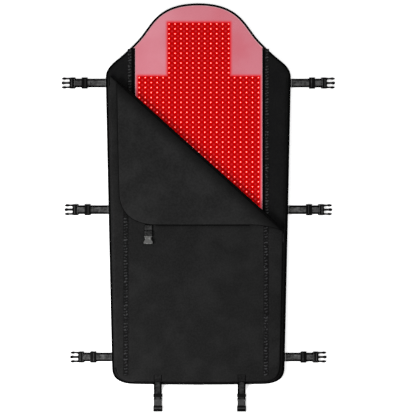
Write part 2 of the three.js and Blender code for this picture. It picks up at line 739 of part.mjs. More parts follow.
// The cover's half, from the slider down and round the foot.
const coverZip = (reach) => [
  [CHAIN_SPLIT, TEETH_BASE],
  [CHAIN_SPLIT, teethTop],
  [teethOut, teethTop],
  [teethOut, tapeHigh],
  [reach, tapeHigh],
  [reach, tapeLow],
  [teethOut, tapeLow],
  [teethOut, TEETH_BASE],
];
const chainTop = sliderY - SLIDER_LENGTH / 2 - 2;
const coverReach = COVER_RIGHT - CHAIN_SIDE - GAP;
add("zip_tape_cover", sweep(chainPath(chainTop), coverZip(coverReach)), "coatedFabric");

// The flap's half, along its hem from the flap strap to where the hem dips.
const flapStrapX = flapCornerX + FLAP_STRAP_INSET;
const hemStart = flapStrapX + END_WEBBING;
const hemEnd = flapRight - FLAP_TIP_RUN;
const hemTape = profile(
  [
    [-HEM_TAPE - GAP, 2 * FOLD_Z - tapeHigh],
    [-GAP, 2 * FOLD_Z - tapeHigh],
    [-GAP, 2 * FOLD_Z - tapeLow],
    [-HEM_TAPE - GAP, 2 * FOLD_Z - tapeLow],
  ],
  hemEnd - hemStart,
);
hemTape.rotateZ(Math.PI / 2).translate((hemStart + hemEnd) / 2, HEM_Y, 0);
add("zip_tape_flap", hemTape, "coatedFabric");

// Slider: two plates joined by a post between the rows of teeth, and a bridge for the puller.
const slider = new THREE.Group();
slider.position.set(sideX(sliderY) - CHAIN_SIDE, sliderY, 0);
slider.rotation.z = -Math.atan(SIDE_SLOPE);
root.add(slider);
const plateTop = teethTop + SLIDER_PLAY + SLIDER_PLATE;
const plateBase = TEETH_BASE - SLIDER_PLAY - SLIDER_PLATE;
const pivotZ = plateTop + PIVOT_RISE;
const bridgeTop = pivotZ + PULLER_PIN + 1.1;
const pinPlay = PULLER_PIN + GAP;
const sink = 0.1; // how far joined blocks run into each other
const halfWidth = SLIDER_WIDTH / 2;
const halfLength = SLIDER_LENGTH / 2;
const halfBridge = BRIDGE_WIDTH / 2;
const halfPost = CHAIN_SPLIT - GAP;
const sliderBody = join(
  block(-halfWidth, halfWidth, -halfLength, halfLength, plateTop - SLIDER_PLATE, plateTop),
  block(-halfWidth, halfWidth, -halfLength, halfLength, plateBase, plateBase + SLIDER_PLATE),
  block(-halfPost, halfPost, 1, halfLength - 1, plateBase + sink, plateTop - sink),
  block(-halfBridge, halfBridge, -BRIDGE_LENGTH / 2, BRIDGE_LENGTH / 2, plateTop - sink, bridgeTop),
);
const pinHole = block(-2, 2, -pinPlay, pinPlay, pivotZ - pinPlay, pivotZ + pinPlay);
add("zip_slider", cut(sliderBody, pinHole), "zipMetal", slider);
const pullerHalf = PULLER_WIDTH / 2;
const pullerArm = PULLER_LENGTH / 3;
const armInside = halfBridge + 1;
const pinLevel = [pivotZ - PULLER_PIN, pivotZ + PULLER_PIN];
const puller = join(
  rod(PULLER_PIN, 2 * armInside + 1).rotateZ(Math.PI / 2).translate(0, 0, pivotZ),
  block(-pullerHalf, -armInside, -pullerArm, PULLER_PIN, ...pinLevel),
  block(armInside, pullerHalf, -pullerArm, PULLER_PIN, ...pinLevel),
  block(-pullerHalf, pullerHalf, -PULLER_LENGTH, -pullerArm + 1, ...pinLevel),
);
add("zip_puller", puller, "zipMetal", slider);

// ---------------------------------------------------------------- straps
// A strap is drawn in its own frame: X runs out from its hinge line, Y is across, Z is up.

const strapFrame = (x, y, turn) => {
  const frame = new THREE.Group();
  frame.position.set(x, y, 0);
  frame.rotation.z = turn;
  root.add(frame);
  return frame;
};

// Webbing that comes along a lead, goes round a bar and comes back along a tail.
const webbing = (lead, barX, barZ, tail, width) => {
  const loop = [];
  for (let i = 0; i <= 6; i++) {
    const angle = -Math.PI / 2 + (i * Math.PI) / 6;
    loop.push([barX + LOOP * Math.cos(angle), barZ + LOOP * Math.sin(angle)]);
  }
  return profile(ribbon([...lead, ...loop, ...tail], WEBBING), width);
};

// Slide adjuster or keeper: two bars over the webbing and one under it, between two side rails.
const adjuster = (length, width, webbingWidth, low, high) => {
  const rail = webbingWidth / 2 + RAIL_PLAY;
  const bar = length / 6;
  const thickness = 2.1;
  const play = 0.5;
  const base = low - play - thickness;
  const roof = high + play + thickness;
  return join(
    block(-length / 2, length / 2, rail, width / 2, base, roof),
    block(-length / 2, length / 2, -width / 2, -rail, base, roof),
    block(-length / 2, -length / 2 + bar, -width / 2, width / 2, roof - thickness, roof),
    block(length / 2 - bar, length / 2, -width / 2, width / 2, roof - thickness, roof),
    block(-bar / 1.5, bar / 1.5, -width / 2, width / 2, base, base + thickness),
  );
};

// A plan outline of [x, y] corners for one half, mirrored across the strap.
const symmetric = (half) => [
  ...half.map(([x, y]) => new THREE.Vector2(x, -y)),
  ...half.map(([x, y]) => new THREE.Vector2(x, y)).reverse(),
];

// The window that webbing loops through at a buckle's bar.
const webbingWindow = (half, thick) =>
  block(-BAR - PAST, WINDOW, -half, half, -thick - 1, thick + 1);

// Male half: a block with a bar and a window for the webbing, a guide and two sprung arms that
// fit a female buckle's mouth.
const maleBuckle = () => {
  const half = MALE_WIDTH / 2;
  const thick = MALE_THICKNESS / 2;
  const tip = MALE_BLOCK + PRONGS;
  const neck = MALE_BLOCK - 1;
  const bevel = 3;
  const body = sheet(
    symmetric([
      [-BAR, half - bevel],
      [BAR, half],
      [MALE_BLOCK - bevel, half],
      [MALE_BLOCK, half - bevel],
    ]),
    -thick,
    thick,
  );
  const windowHalf = SIDE_WEBBING / 2 + RAIL_PLAY;
  const guide = block(
    neck,
    tip - 7,
    -GUIDE_WIDTH / 2,
    GUIDE_WIDTH / 2,
    -GUIDE_HEIGHT / 2,
    GUIDE_HEIGHT / 2,
  );
  const spread = FEMALE_WIDTH / 2 - MOUTH_WALL - ARM_PLAY;
  const armHalf = MOUTH_HEIGHT / 2 - ARM_HEIGHT_PLAY;
  const arm = (sign) => {
    const corners = [
      [neck, spread - 6.5],
      [tip - 12, spread - 5],
      [tip - 2, spread - 8.5],
      [tip, spread - 7],
      [tip - 3, spread - 3],
      [tip - 13, spread],
      [tip - 17, spread - 1.7],
      [neck, spread - 1.5],
    ];
    const outline = corners.map(([x, y]) => new THREE.Vector2(x, sign * y));
    return sheet(sign > 0 ? outline : outline.reverse(), -armHalf, armHalf);
  };
  const bored = cut(body, webbingWindow(windowHalf, thick));
  return join(bored, rod(BAR, 2 * windowHalf + 2), guide, arm(1), arm(-1));
};

// Female half: a bar and window, then a hollow body that narrows to a waist, and a full-width
// collar round the mouth.
const femaleBuckle = (length, waistCut) => {
  const half = FEMALE_WIDTH / 2;
  const thick = FEMALE_THICKNESS / 2;
  const body = sheet(
    symmetric([
      [-BAR, half - 1],
      [WINDOW, half - 1],
      [WINDOW + 3, half - waistCut],
      [length / 2, half - waistCut],
      [length / 2 + 4, half],
      [length, half],
    ]),
    -thick,
    thick,
  );
  const windowHalf = END_WEBBING / 2 + FEMALE_WINDOW_PLAY;
  const mouth = block(
    WINDOW + MOUTH_FLOOR,
    length + PAST,
    -half + MOUTH_WALL,
    half - MOUTH_WALL,
    -MOUTH_HEIGHT / 2,
    MOUTH_HEIGHT / 2,
  );
  const hollow = cut(body, webbingWindow(windowHalf, thick), mouth);
  return join(hollow, rod(BAR, 2 * windowHalf + 2));
};

// Side straps, sewn under the mat's edge, in three rows on each side.
const barHeight = MALE_THICKNESS / 2 + BUCKLE_LIFT;
const lowLayer = STRAP_HEIGHT;
const highLayer = STRAP_HEIGHT + WEBBING + GAP;
const rows = {
  head: CROWN_Y - HEAD_ROW,
  middle: CROWN_Y - MIDDLE_ROW,
  foot: FOOT_Y + FOOT_ROW,
};
for (const [row, y] of Object.entries(rows)) {
  const barX = STRAP_REACHES[row] - MALE_BLOCK - PRONGS;
  const loopStart = barX - BAR - LOOP_RUN;
  const lead = [[1, lowLayer], [loopStart, lowLayer]];
  const tail = [[loopStart, highLayer], [loopStart - SIDE_ADJUSTER - SIDE_TAIL, highLayer]];
  for (const [side, sign] of sides) {
    const frame = strapFrame(sign * (sideX(y) + STRAP_HINGE), y, sign < 0 ? Math.PI : 0);
    const strap = webbing(lead, barX, barHeight, tail, SIDE_WEBBING);
    add(`webbing_${side}_${row}`, strap, "webbing", frame);
    const slide = adjuster(
      SIDE_ADJUSTER,
      MALE_WIDTH,
      SIDE_WEBBING,
      lowLayer - WEBBING / 2,
      highLayer + WEBBING / 2,
    );
    slide.translate(loopStart - SIDE_ADJUSTER / 2 - GAP, 0, 0);
    add(`adjuster_${side}_${row}`, slide, "moulding", frame);
    const buckle = maleBuckle().translate(barX, 0, barHeight);
    add(`male_buckle_${side}_${row}`, buckle, "moulding", frame);
  }
}

// End straps, sewn on the cover at the foot. They drop over the rim to the floor.
const endHingeY = FOOT_Y + COVER_FOOT + END_HINGE_INSET;
const endHingeZ = COVER_TOP + END_HINGE_RISE;
const endBarX = endHingeY - (FOOT_Y - END_STRAP_OVERHANG) - END_BUCKLE;
const endBarZ = FEMALE_THICKNESS / 2 + END_BUCKLE_LIFT;
const endLow = endBarZ - (WEBBING + GAP) / 2;
const endHigh = endBarZ + (WEBBING + GAP) / 2;
const rimDrop = endHingeY - FOOT_Y;
const keeperEnd = endBarX - 9;
const endLead = [
  [1.5, endHingeZ],
  [rimDrop - 2.5, endHingeZ - 1.5],
  [rimDrop + 5.5, endHingeZ - 7],
  [rimDrop + 24, endLow + 6],
  [rimDrop + 30, endLow],
  [endBarX - 8, endLow],
];
const endTail = [[endBarX - 8, endHigh], [rimDrop + 34, endHigh]];
for (const [side, x] of Object.entries(END_STRAP_XS)) {
  const patchY = endHingeY + 2;
  const half = END_WEBBING / 2;
  const patch = block(x - half, x + half, patchY, patchY + PATCH_LENGTH, ...onCover(WEBBING));
  add("end_patch_" + side, patch, "webbing");
  const frame = strapFrame(x, endHingeY, -Math.PI / 2);
  const strap = webbing(endLead, endBarX, endBarZ, endTail, END_WEBBING);
  add("end_webbing_" + side, strap, "webbing", frame);
  const keeper = adjuster(
    KEEPER,
    FEMALE_WIDTH,
    END_WEBBING,
    endLow - WEBBING / 2,
    endHigh + WEBBING / 2,
  );
  keeper.translate(keeperEnd - KEEPER / 2, 0, 0);
  add("end_keeper_" + side, keeper, "moulding", frame);
  const buckle = femaleBuckle(END_BUCKLE, END_WAIST_CUT);
  add("end_female_buckle_" + side, buckle.translate(endBarX, 0, endBarZ), "greyMoulding", frame);
}

// Flap strap, which lies on the cover below the flap's hem.
const flapBarZ = COVER_TOP + FLAP_BUCKLE_LIFT + FEMALE_THICKNESS / 2;
const flapStrap = strapFrame(flapStrapX, HEM_Y, -Math.PI / 2);
const flapLow = flapBarZ - (WEBBING + GAP) / 2;
const flapHigh = flapBarZ + (WEBBING + GAP) / 2;
const flapLead = [[1, flapLow], [14, flapLow]];
const flapTail = [[14, flapHigh], [6, flapHigh]];
const flapLoop = webbing(flapLead, FLAP_STRAP_LENGTH, flapBarZ, flapTail, END_WEBBING);
add("flap_webbing", flapLoop, "webbing", flapStrap);
const flapBuckle = femaleBuckle(FLAP_BUCKLE, FLAP_WAIST_CUT);
flapBuckle.translate(FLAP_STRAP_LENGTH, 0, flapBarZ);
add("flap_female_buckle", flapBuckle, "greyMoulding", flapStrap);

export default root;
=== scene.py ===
import json
import math

import bmesh
import bpy
import numpy as np
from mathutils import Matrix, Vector, noise
from mathutils.geometry import delaunay_2d_cdt


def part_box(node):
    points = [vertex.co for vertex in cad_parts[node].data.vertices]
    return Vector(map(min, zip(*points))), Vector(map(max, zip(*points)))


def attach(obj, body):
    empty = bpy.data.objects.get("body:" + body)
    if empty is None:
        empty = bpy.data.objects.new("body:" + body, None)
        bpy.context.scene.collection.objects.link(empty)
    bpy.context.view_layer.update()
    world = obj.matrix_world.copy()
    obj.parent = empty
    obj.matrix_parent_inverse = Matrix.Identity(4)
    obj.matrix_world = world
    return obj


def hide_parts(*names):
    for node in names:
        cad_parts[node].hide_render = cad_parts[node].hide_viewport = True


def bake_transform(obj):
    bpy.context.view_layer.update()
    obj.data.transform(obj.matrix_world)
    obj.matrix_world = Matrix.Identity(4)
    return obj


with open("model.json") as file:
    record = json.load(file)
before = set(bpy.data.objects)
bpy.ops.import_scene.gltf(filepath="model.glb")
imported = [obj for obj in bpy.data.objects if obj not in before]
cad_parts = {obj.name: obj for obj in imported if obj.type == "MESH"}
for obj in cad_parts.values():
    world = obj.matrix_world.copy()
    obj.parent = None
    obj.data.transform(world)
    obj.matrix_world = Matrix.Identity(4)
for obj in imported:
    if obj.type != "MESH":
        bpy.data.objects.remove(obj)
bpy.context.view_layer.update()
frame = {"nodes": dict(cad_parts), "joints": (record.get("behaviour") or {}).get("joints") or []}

nodes = frame["nodes"]


# ---- Camera, floor and light
# The blanket lies on a white studio floor and is seen from straight overhead. Two large soft
# boxes and an even white surround light it, as for a catalogue.
scene = bpy.context.scene
scene.view_settings.view_transform = "Standard"
camera_data = bpy.data.cameras.new("overhead_camera")
camera_height, frame_width, focus_height = 12.0, 1.960, 0.03
camera_data.sensor_width = 36.0
camera_data.lens = camera_data.sensor_width * camera_height / frame_width
camera = bpy.data.objects.new("overhead_camera", camera_data)
camera.location = (0.0457, -0.0024, camera_height + focus_height)
scene.collection.objects.link(camera)
scene.camera = camera


def join_up(tree, value, socket):
    """Wires a socket, or sets a plain value."""
    if isinstance(value, bpy.types.NodeSocket):
        tree.links.new(value, socket)
    else:
        socket.default_value = value


def sum_of(tree, operation, *values):
    step = tree.nodes.new("ShaderNodeMath")
    step.operation = operation
    for value, socket in zip(values, step.inputs):
        join_up(tree, value, socket)
    return step.outputs[0]


def eased(tree, value, low, high, to_low=0.0, to_high=1.0):
    """Smooth step of a value between two limits."""
    step = tree.nodes.new("ShaderNodeMapRange")
    step.interpolation_type = "SMOOTHSTEP"
    for given, socket in zip((value, low, high, to_low, to_high), step.inputs):
        join_up(tree, given, socket)
    return step.outputs[0]


def mixed(tree, share, one, other):
    step = tree.nodes.new("ShaderNodeMix")
    step.data_type = "RGBA"
    for given, socket in zip((share, one, other), (step.inputs[0], step.inputs[6], step.inputs[7])):
        join_up(tree, given, socket)
    return step.outputs[2]


def cloudy(tree, place, scale, detail=2.0):
    step = tree.nodes.new("ShaderNodeTexNoise")
    join_up(tree, place, step.inputs["Vector"])
    step.inputs["Scale"].default_value = scale
    step.inputs["Detail"].default_value = detail
    return step.outputs["Fac"]


def tint(red, green, blue):
    """A colour as mixed on a screen, from 0 to 255, for a shader."""
    parts = [value / 255 for value in (red, green, blue)]
    return tuple(p / 12.92 if p <= 0.04045 else ((p + 0.055) / 1.055) ** 2.4 for p in parts) + (1.0,)


def blank(name):
    """A new material, its node tree and its shader."""
    material = bpy.data.materials.new(name)
    material.use_nodes = True
    return material, material.node_tree, material.node_tree.nodes["Principled BSDF"]


def object_place(tree):
    return tree.nodes.new("ShaderNodeTexCoord").outputs["Object"]


def grid(across, along, place):
    """Points and faces of a sheet; place turns two shares from 0 to 1 into a point."""
    points = [place(i / across, j / along) for j in range(along + 1) for i in range(across + 1)]
    row = across + 1
    faces = [
        (j * row + i, j * row + i + 1, (j + 1) * row + i + 1, (j + 1) * row + i)
        for j in range(along)
        for i in range(across)
    ]
    return points, faces


def piece(name, points, faces, *materials, smooth=True):
    """A mesh object from its points and faces."""
    mesh = bpy.data.meshes.new(name)
    mesh.from_pydata([tuple(map(float, p)) for p in points], [], faces)
    mesh.polygons.foreach_set("use_smooth", [smooth] * len(mesh.polygons))
    for material in materials:
        mesh.materials.append(material)
    made = bpy.data.objects.new(name, mesh)
    scene.collection.objects.link(made)
    return made


floor_paint, tree, shader = blank("studio_floor_paint")
floor_tone = mixed(tree, cloudy(tree, object_place(tree), 0.8), tint(248, 248, 248), tint(252, 252, 252))
join_up(tree, floor_tone, shader.inputs["Base Color"])
shader.inputs["Roughness"].default_value = 0.9
shader.inputs["Specular IOR Level"].default_value = 0.1
shader.inputs["Emission Color"].default_value = (1, 1, 1, 1)
shader.inputs["Emission Strength"].default_value = 0.5
floor_size = 14.0
floor = piece(
    "studio_floor",
    *grid(24, 24, lambda u, v: ((u - 0.5) * floor_size, (v - 0.5) * floor_size, -0.0006)),
    floor_paint,
)

surround = bpy.data.worlds.new("studio_surround")
surround.use_nodes = True
surround.node_tree.nodes["Background"].inputs["Color"].default_value = (1, 1, 1, 1)
surround.node_tree.nodes["Background"].inputs["Strength"].default_value = 0.5
scene.world = surround
for name, place, size, power in (
    ("soft_box_left", (-1.75, -1.45, 2.1), 1.3, 98.0),
    ("soft_box_head", (1.6, 1.9, 3.0), 2.4, 24.0),
):
    lamp = bpy.data.lights.new(name, "AREA")
    lamp.size, lamp.energy = size, power
    holder = bpy.data.objects.new(name, lamp)
    holder.location = place
    holder.rotation_euler = (-Vector(place)).to_track_quat("-Z", "Y").to_euler()
    scene.collection.objects.link(holder)


# ---- Padded base mat
# A foam-filled mat in coated nylon, flat on the floor, with straight sides and a domed hood at
# the head. The cloth is stretched over the foam and wrinkles a little towards the seams.
def group_of(name, inputs, outputs):
    """An empty node group with its named sockets."""
    group = bpy.data.node_groups.new(name, "ShaderNodeTree")
    for label, kind, value in inputs:
        made = group.interface.new_socket(label, in_out="INPUT", socket_type=kind)
        made.default_value = value
    for label, kind in outputs:
        group.interface.new_socket(label, in_out="OUTPUT", socket_type=kind)
    entry = group.nodes.new("NodeGroupInput")
    leave = group.nodes.new("NodeGroupOutput")
    return group, entry.outputs, leave.inputs


COLOUR, NUMBER = "NodeSocketColor", "NodeSocketFloat"
woven, given, out = group_of(
    "woven_cloth",
    [
        ("Thread Colour", COLOUR, (0.02, 0.02, 0.02, 1)),
        ("Worn Colour", COLOUR, (0.04, 0.04, 0.04, 1)),
        ("Threads", NUMBER, 900.0),
        ("Roughness", NUMBER, 0.6),
        ("Thread Relief", NUMBER, 0.5),
        ("Rub Scale", NUMBER, 9.0),
    ],
    [("Colour", COLOUR), ("Roughness", NUMBER), ("Height", NUMBER)],
)
place = object_place(woven)
parts = woven.nodes.new("ShaderNodeSeparateXYZ")
woven.links.new(place, parts.inputs[0])
warp = sum_of(woven, "SINE", sum_of(woven, "MULTIPLY", parts.outputs[0], given["Threads"]))
weft = sum_of(woven, "SINE", sum_of(woven, "MULTIPLY", parts.outputs[1], given["Threads"]))
crossing = sum_of(woven, "MULTIPLY_ADD", sum_of(woven, "MULTIPLY", warp, weft), 0.5, 0.5)
rub = woven.nodes.new("ShaderNodeTexNoise")
woven.links.new(place, rub.inputs["Vector"])
woven.links.new(given["Rub Scale"], rub.inputs["Scale"])
rub.inputs["Detail"].default_value = 4.0
rubbed = eased(woven, rub.outputs["Fac"], 0.40, 0.68)
fibre = cloudy(woven, place, 420.0, 2.0)
slubs = eased(woven, cloudy(woven, place, 130.0, 1.0), 0.3, 0.7, 0.0, 0.35)
worn = sum_of(woven, "MULTIPLY_ADD", crossing, 0.25, sum_of(woven, "MULTIPLY_ADD", rubbed, 0.45, slubs))
woven.links.new(mixed(woven, worn, given["Thread Colour"], given["Worn Colour"]), out["Colour"])
rougher = sum_of(woven, "MULTIPLY_ADD", rubbed, 0.12, given["Roughness"])
woven.links.new(sum_of(woven, "MULTIPLY_ADD", fibre, 0.08, rougher), out["Roughness"])
woven.links.new(
    sum_of(woven, "MULTIPLY_ADD", crossing, given["Thread Relief"], sum_of(woven, "MULTIPLY", fibre, 0.5)),
    out["Height"],
)


def finish_from(name, effect, settings, relief, gloss, metal=0.0):
    """A material that takes its colour, roughness and relief from a group."""
    material, tree, shader = blank(name)
    source = tree.nodes.new("ShaderNodeGroup")
    source.node_tree = effect
    for label, value in settings.items():
        source.inputs[label].default_value = value
    tree.links.new(source.outputs["Colour"], shader.inputs["Base Color"])
    tree.links.new(source.outputs["Roughness"], shader.inputs["Roughness"])
    bump = tree.nodes.new("ShaderNodeBump")
    bump.inputs["Strength"].default_value = 0.6
    bump.inputs["Distance"].default_value = relief
    tree.links.new(source.outputs["Height"], bump.inputs["Height"])
    tree.links.new(bump.outputs["Normal"], shader.inputs["Normal"])
    shader.inputs["Specular IOR Level"].default_value = gloss
    shader.inputs["Metallic"].default_value = metal
    return material


def cloth(name, thread, worn, threads=2600.0, rough=0.65, relief=0.0004, gloss=0.09, rub=9.0):
    settings = {"Thread Colour": thread, "Worn Colour": worn, "Threads": threads, "Roughness": rough}
    settings["Rub Scale"] = rub
    return finish_from(name, woven, settings, relief, gloss)


coated_nylon = cloth("coated_nylon", tint(13, 13, 14), tint(22, 22, 22), gloss=0.055)


def level_points(node, height, slack=2e-4):
    """The plan points of a node's corners at one height."""
    return {
        (round(v.co.x, 5), round(v.co.y, 5))
        for v in nodes[node].data.vertices
        if abs(v.co.z - height) < slack
    }


def rim_of(node, height):
    """Corner points of a node's level face, in order round the middle of its box."""
    low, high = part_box(node)
    middle = (low + high) / 2

    def turn(point):
        return math.atan2(point[1] - middle.y, point[0] - middle.x)

    return np.array(sorted(level_points(node, height), key=turn))


def rounded(corners, step, closed=True):
    """Points along an outline about a step apart, with its shallow corners rounded."""
    corners = np.asarray(corners, float)
    count = len(corners)
    spans = count if closed else count - 1
    runs = [corners[(i + 1) % count] - corners[i % count] for i in range(spans)]
    points = []
    for i, run in enumerate(runs):
        length = np.linalg.norm(run)
        ends = []
        for near in (i - 1, i + 1):
            other = runs[near % spans] if closed or 0 <= near < spans else run
            shallow = run @ other > 0.9 * length * np.linalg.norm(other)
            heading = run + other if shallow else run
            ends.append(heading / np.linalg.norm(heading) * length)
        for share in np.arange(0, 1, 1 / max(1, round(length / step))):
            if share > 1 - 1e-6:
                continue
            s2, s3 = share * share, share**3
            points.append(
                corners[i] * (2 * s3 - 3 * s2 + 1)
                + corners[(i + 1) % count] * (3 * s2 - 2 * s3)
                + ends[0] * (s3 - 2 * s2 + share)
                + ends[1] * (s3 - s2)
            )
    if not closed:
        points.append(corners[-1])
    return np.array(points)


def across(path, closed):
    """Level unit vectors to the right of a path at each point."""
    path = np.asarray(path, float)[:, :2]
    if closed:
        along = np.roll(path, -1, 0) - np.roll(path, 1, 0)
    else:
        along = np.gradient(path, axis=0)
    along /= np.linalg.norm(along, axis=1)[:, None] + 1e-12
    return np.stack([along[:, 1], -along[:, 0]], 1)


def distance_in(points, rim):
    """Distance of each point from the rim's nearest side."""
    nearest = np.full(len(points), 1e9)
    for a, b in zip(rim, np.roll(rim, -1, 0)):
        run = b - a
        share = np.clip(((points - a) @ run) / (run @ run), 0, 1)
        gap = np.linalg.norm(points - a - share[:, None] * run, axis=1)
        nearest = np.minimum(nearest, gap)
    return nearest


def pad(name, rim, bottom, top, edge, spacing, upper, material):
    """A closed cushion over a plan outline. Its edge is rounded over that width, and upper gives
    how far its top face moves at (x, y, distance from the edge)."""
    out = across(rim, True)
    rings = [rim] + [rim - out * edge * share for share in (0.06, 0.2, 0.45, 0.8)]
    low, high = rim.min(0), rim.max(0)
    xs, ys = (np.arange(low[k] + spacing / 2, high[k], spacing) for k in (0, 1))
    inside = np.array([(x + (j % 2) * spacing / 2, y) for j, y in enumerate(ys) for x in xs])
    inside = inside[distance_in(inside, rim) > edge * 0.8 + spacing * 0.4]
    flat = np.concatenate([*rings, inside])
    points, _, faces, *_ = delaunay_2d_cdt(
        [Vector(p) for p in flat], [], [list(range(len(rim)))], 1, 1e-6
    )
    plan = np.array([tuple(p) for p in points])
    depth = distance_in(plan, rim)
    swell = np.sqrt(1 - (1 - np.minimum(depth / edge, 1)) ** 2)
    middle, half = (bottom + top) / 2, (top - bottom) / 2
    rises = np.array([upper(x, y, d) for (x, y), d in zip(plan, depth)])
    tops = [(x, y, middle + (half + r) * s) for (x, y), r, s in zip(plan, rises, swell)]
    shared = depth < 1e-5
    twin, bottoms = {}, []
    for i, ((x, y), s) in enumerate(zip(plan, swell)):
        twin[i] = i if shared[i] else len(tops) + len(bottoms)
        if not shared[i]:
            bottoms.append((x, y, middle - half * s))
    lids = [tuple(f) for f in faces]
    floors = [tuple(twin[i] for i in reversed(f)) for f in faces]
    return piece(name, tops + bottoms, lids + floors, material)


def ripple(x, y, size, depth, seed):
    return depth * noise.noise(Vector((x / size, y / size, seed)))


def fit(made, slot, body, *stands_for):
    """Files a piece under its body, in place of the nodes it stands for; its slot is not used."""
    if stands_for:
        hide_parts(*stands_for)
    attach(made, body)


panel_low, panel_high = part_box("light_panel_film")
shell_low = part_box("base_shell")[0]
mat_rim = rounded(rim_of("base_shell", shell_low.z), 0.009)
mat_top = panel_low.z + 0.0004


def border_relief(x, y, depth):
    beside = max(abs(x) - panel_high.x, 0.0)
    pucker = 0.0004 * math.sin(y * 2 * math.pi / 0.014) * math.exp(-beside / 0.03)
    pulled = ripple(x, y, 0.05, 0.0009, 3.0) + ripple(x, y, 0.016, 0.0004, 8.0)
    return (pucker if beside > 0.001 and y < 0.75 else 0.0) + (pulled if beside else 0.2 * pulled)


mat_body = pad("mat_body", mat_rim, shell_low.z, mat_top, 0.004, 0.014, border_relief, coated_nylon)
fit(mat_body, "coated_fabric", "root", "base_shell", "base_insulation", "base_top_border")


# ---- Heater, lamp circuit and wiring inside the mat
# A carbon heater sheet and a copper lamp circuit lie on the foam, with strips of lamps under the
# window, a thermal cut-out in a pocket and a flat cable to the inlet.
grained, given, out = group_of(
    "moulded_grain",
    [
        ("Base Colour", COLOUR, (0.02, 0.02, 0.02, 1)),
        ("Rubbed Colour", COLOUR, (0.06, 0.06, 0.06, 1)),
        ("Grain", NUMBER, 700.0),
        ("Roughness", NUMBER, 0.4),
    ],
    [("Colour", COLOUR), ("Roughness", NUMBER), ("Height", NUMBER)],
)
place = object_place(grained)
speck = grained.nodes.new("ShaderNodeTexNoise")
grained.links.new(place, speck.inputs["Vector"])
grained.links.new(given["Grain"], speck.inputs["Scale"])
scuffed = eased(grained, cloudy(grained, place, 60.0, 4.0), 0.5, 0.68)
grained.links.new(mixed(grained, scuffed, given["Base Colour"], given["Rubbed Colour"]), out["Colour"])
grained.links.new(sum_of(grained, "MULTIPLY_ADD", scuffed, 0.15, given["Roughness"]), out["Roughness"])
grained.links.new(speck.outputs["Fac"], out["Height"])


def moulding(name, base, rubbed, grain=700.0, rough=0.4, gloss=0.4, metal=0.0):
    settings = {"Base Colour": base, "Rubbed Colour": rubbed, "Grain": grain, "Roughness": rough}
    grain_depth = 0.0001
    return finish_from(name, grained, settings, grain_depth, gloss, metal=metal)


def dress(material, *names, bevel=0.0004):
    """Gives carried-over nodes their finish, and rounds their edges."""
    for name in names:
        node = nodes[name]
        node.data.materials.clear()
        node.data.materials.append(material)
        if bevel:
            rounding = node.modifiers.new("rounded_edges", "BEVEL")
            rounding.width = bevel
            rounding.segments = 2
            rounding.limit_method = "ANGLE"
            rounding.use_clamp_overlap = True


carbon_film = moulding("carbon_heater", tint(26, 26, 31), tint(44, 44, 50), 300.0, 0.5)
copper_film = moulding("copper_circuit", tint(184, 110, 50), tint(210, 140, 80), 400.0, 0.4, metal=0.6)
strip_board = moulding("lamp_strip_board", tint(190, 20, 15), tint(235, 60, 45), 500.0, 0.5)
cable_jacket = moulding("cable_jacket", tint(28, 28, 28), tint(48, 48, 48), 500.0, 0.55)
dress(carbon_film, "heater_sheet", bevel=0)
dress(copper_film, "led_circuit", bevel=0)
dress(strip_board, "lamp_strips", bevel=0)
dress(cable_jacket, "wiring_harness")


# ---- Light panel
# A clear pink film is welded over rows of small red lamps: wide rows along the body and a
# narrower block of the same rows in the hood. Each lamp shows as a pale dot in a red ring.
column_pitch, row_pitch, row_start = 0.0281, 0.0234, 0.6125
column_shift, hood_row_pitch = 0.0025, 0.0230
lamp_half_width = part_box("lamp_strips")[1].x
columns_each_side = round(lamp_half_width / column_pitch)
hood_columns_each_side = 5
block_half = columns_each_side * column_pitch
hood_half = hood_columns_each_side * column_pitch
rows_below, rows_above = 58, 11
block_foot = row_start - rows_below * row_pitch
hood_top = row_start + rows_above * hood_row_pitch

pink_film, tree, shader = blank("pink_lamp_film")
place = object_place(tree)
parts = tree.nodes.new("ShaderNodeSeparateXYZ")
tree.links.new(place, parts.inputs[0])
sideways = sum_of(tree, "SUBTRACT", parts.outputs[0], column_shift)
side = sum_of(tree, "ABSOLUTE", sideways)
height = parts.outputs[1]
past_shoulder = sum_of(tree, "MAXIMUM", sum_of(tree, "SUBTRACT", height, row_start), 0.0)
even_height = sum_of(tree, "MULTIPLY_ADD", past_shoulder, row_pitch / hood_row_pitch - 1, height)


def to_nearest(value, pitch, start):
    """Distance to the nearest of a row of evenly spaced lines."""
    steps = sum_of(tree, "DIVIDE", sum_of(tree, "SUBTRACT", value, start), pitch)
    off = sum_of(tree, "SUBTRACT", steps, sum_of(tree, "ROUND", steps))
    return sum_of(tree, "MULTIPLY", off, pitch)


def spot(shift, inner, outer):
    """Round spots on the lamps' rows, moved by a share of the spacing."""
    dx = to_nearest(sideways, column_pitch, shift * column_pitch)
    dy = to_nearest(even_height, row_pitch, row_start + shift * row_pitch)
    squares = sum_of(tree, "MULTIPLY_ADD", dx, dx, sum_of(tree, "MULTIPLY", dy, dy))
    return eased(tree, sum_of(tree, "SQRT", squares), inner, outer, 1.0, 0.0)


def block(half, low, high, spare, soft):
    """A soft-edged rectangle of light."""
    inside = eased(tree, side, half + spare, half + spare + soft, 1.0, 0.0)
    inside = sum_of(tree, "MULTIPLY", inside, eased(tree, height, low - spare - soft, low - spare))
    return sum_of(tree, "MULTIPLY", inside, eased(tree, height, high + spare, high + spare + soft, 1.0, 0.0))


def all_blocks(spare, soft):
    """The body's block of light joined to the hood's."""
    body = block(block_half, block_foot, row_start, spare, soft)
    hood = block(hood_half, row_start - row_pitch, hood_top, spare, soft)
    return sum_of(tree, "MAXIMUM", body, hood)


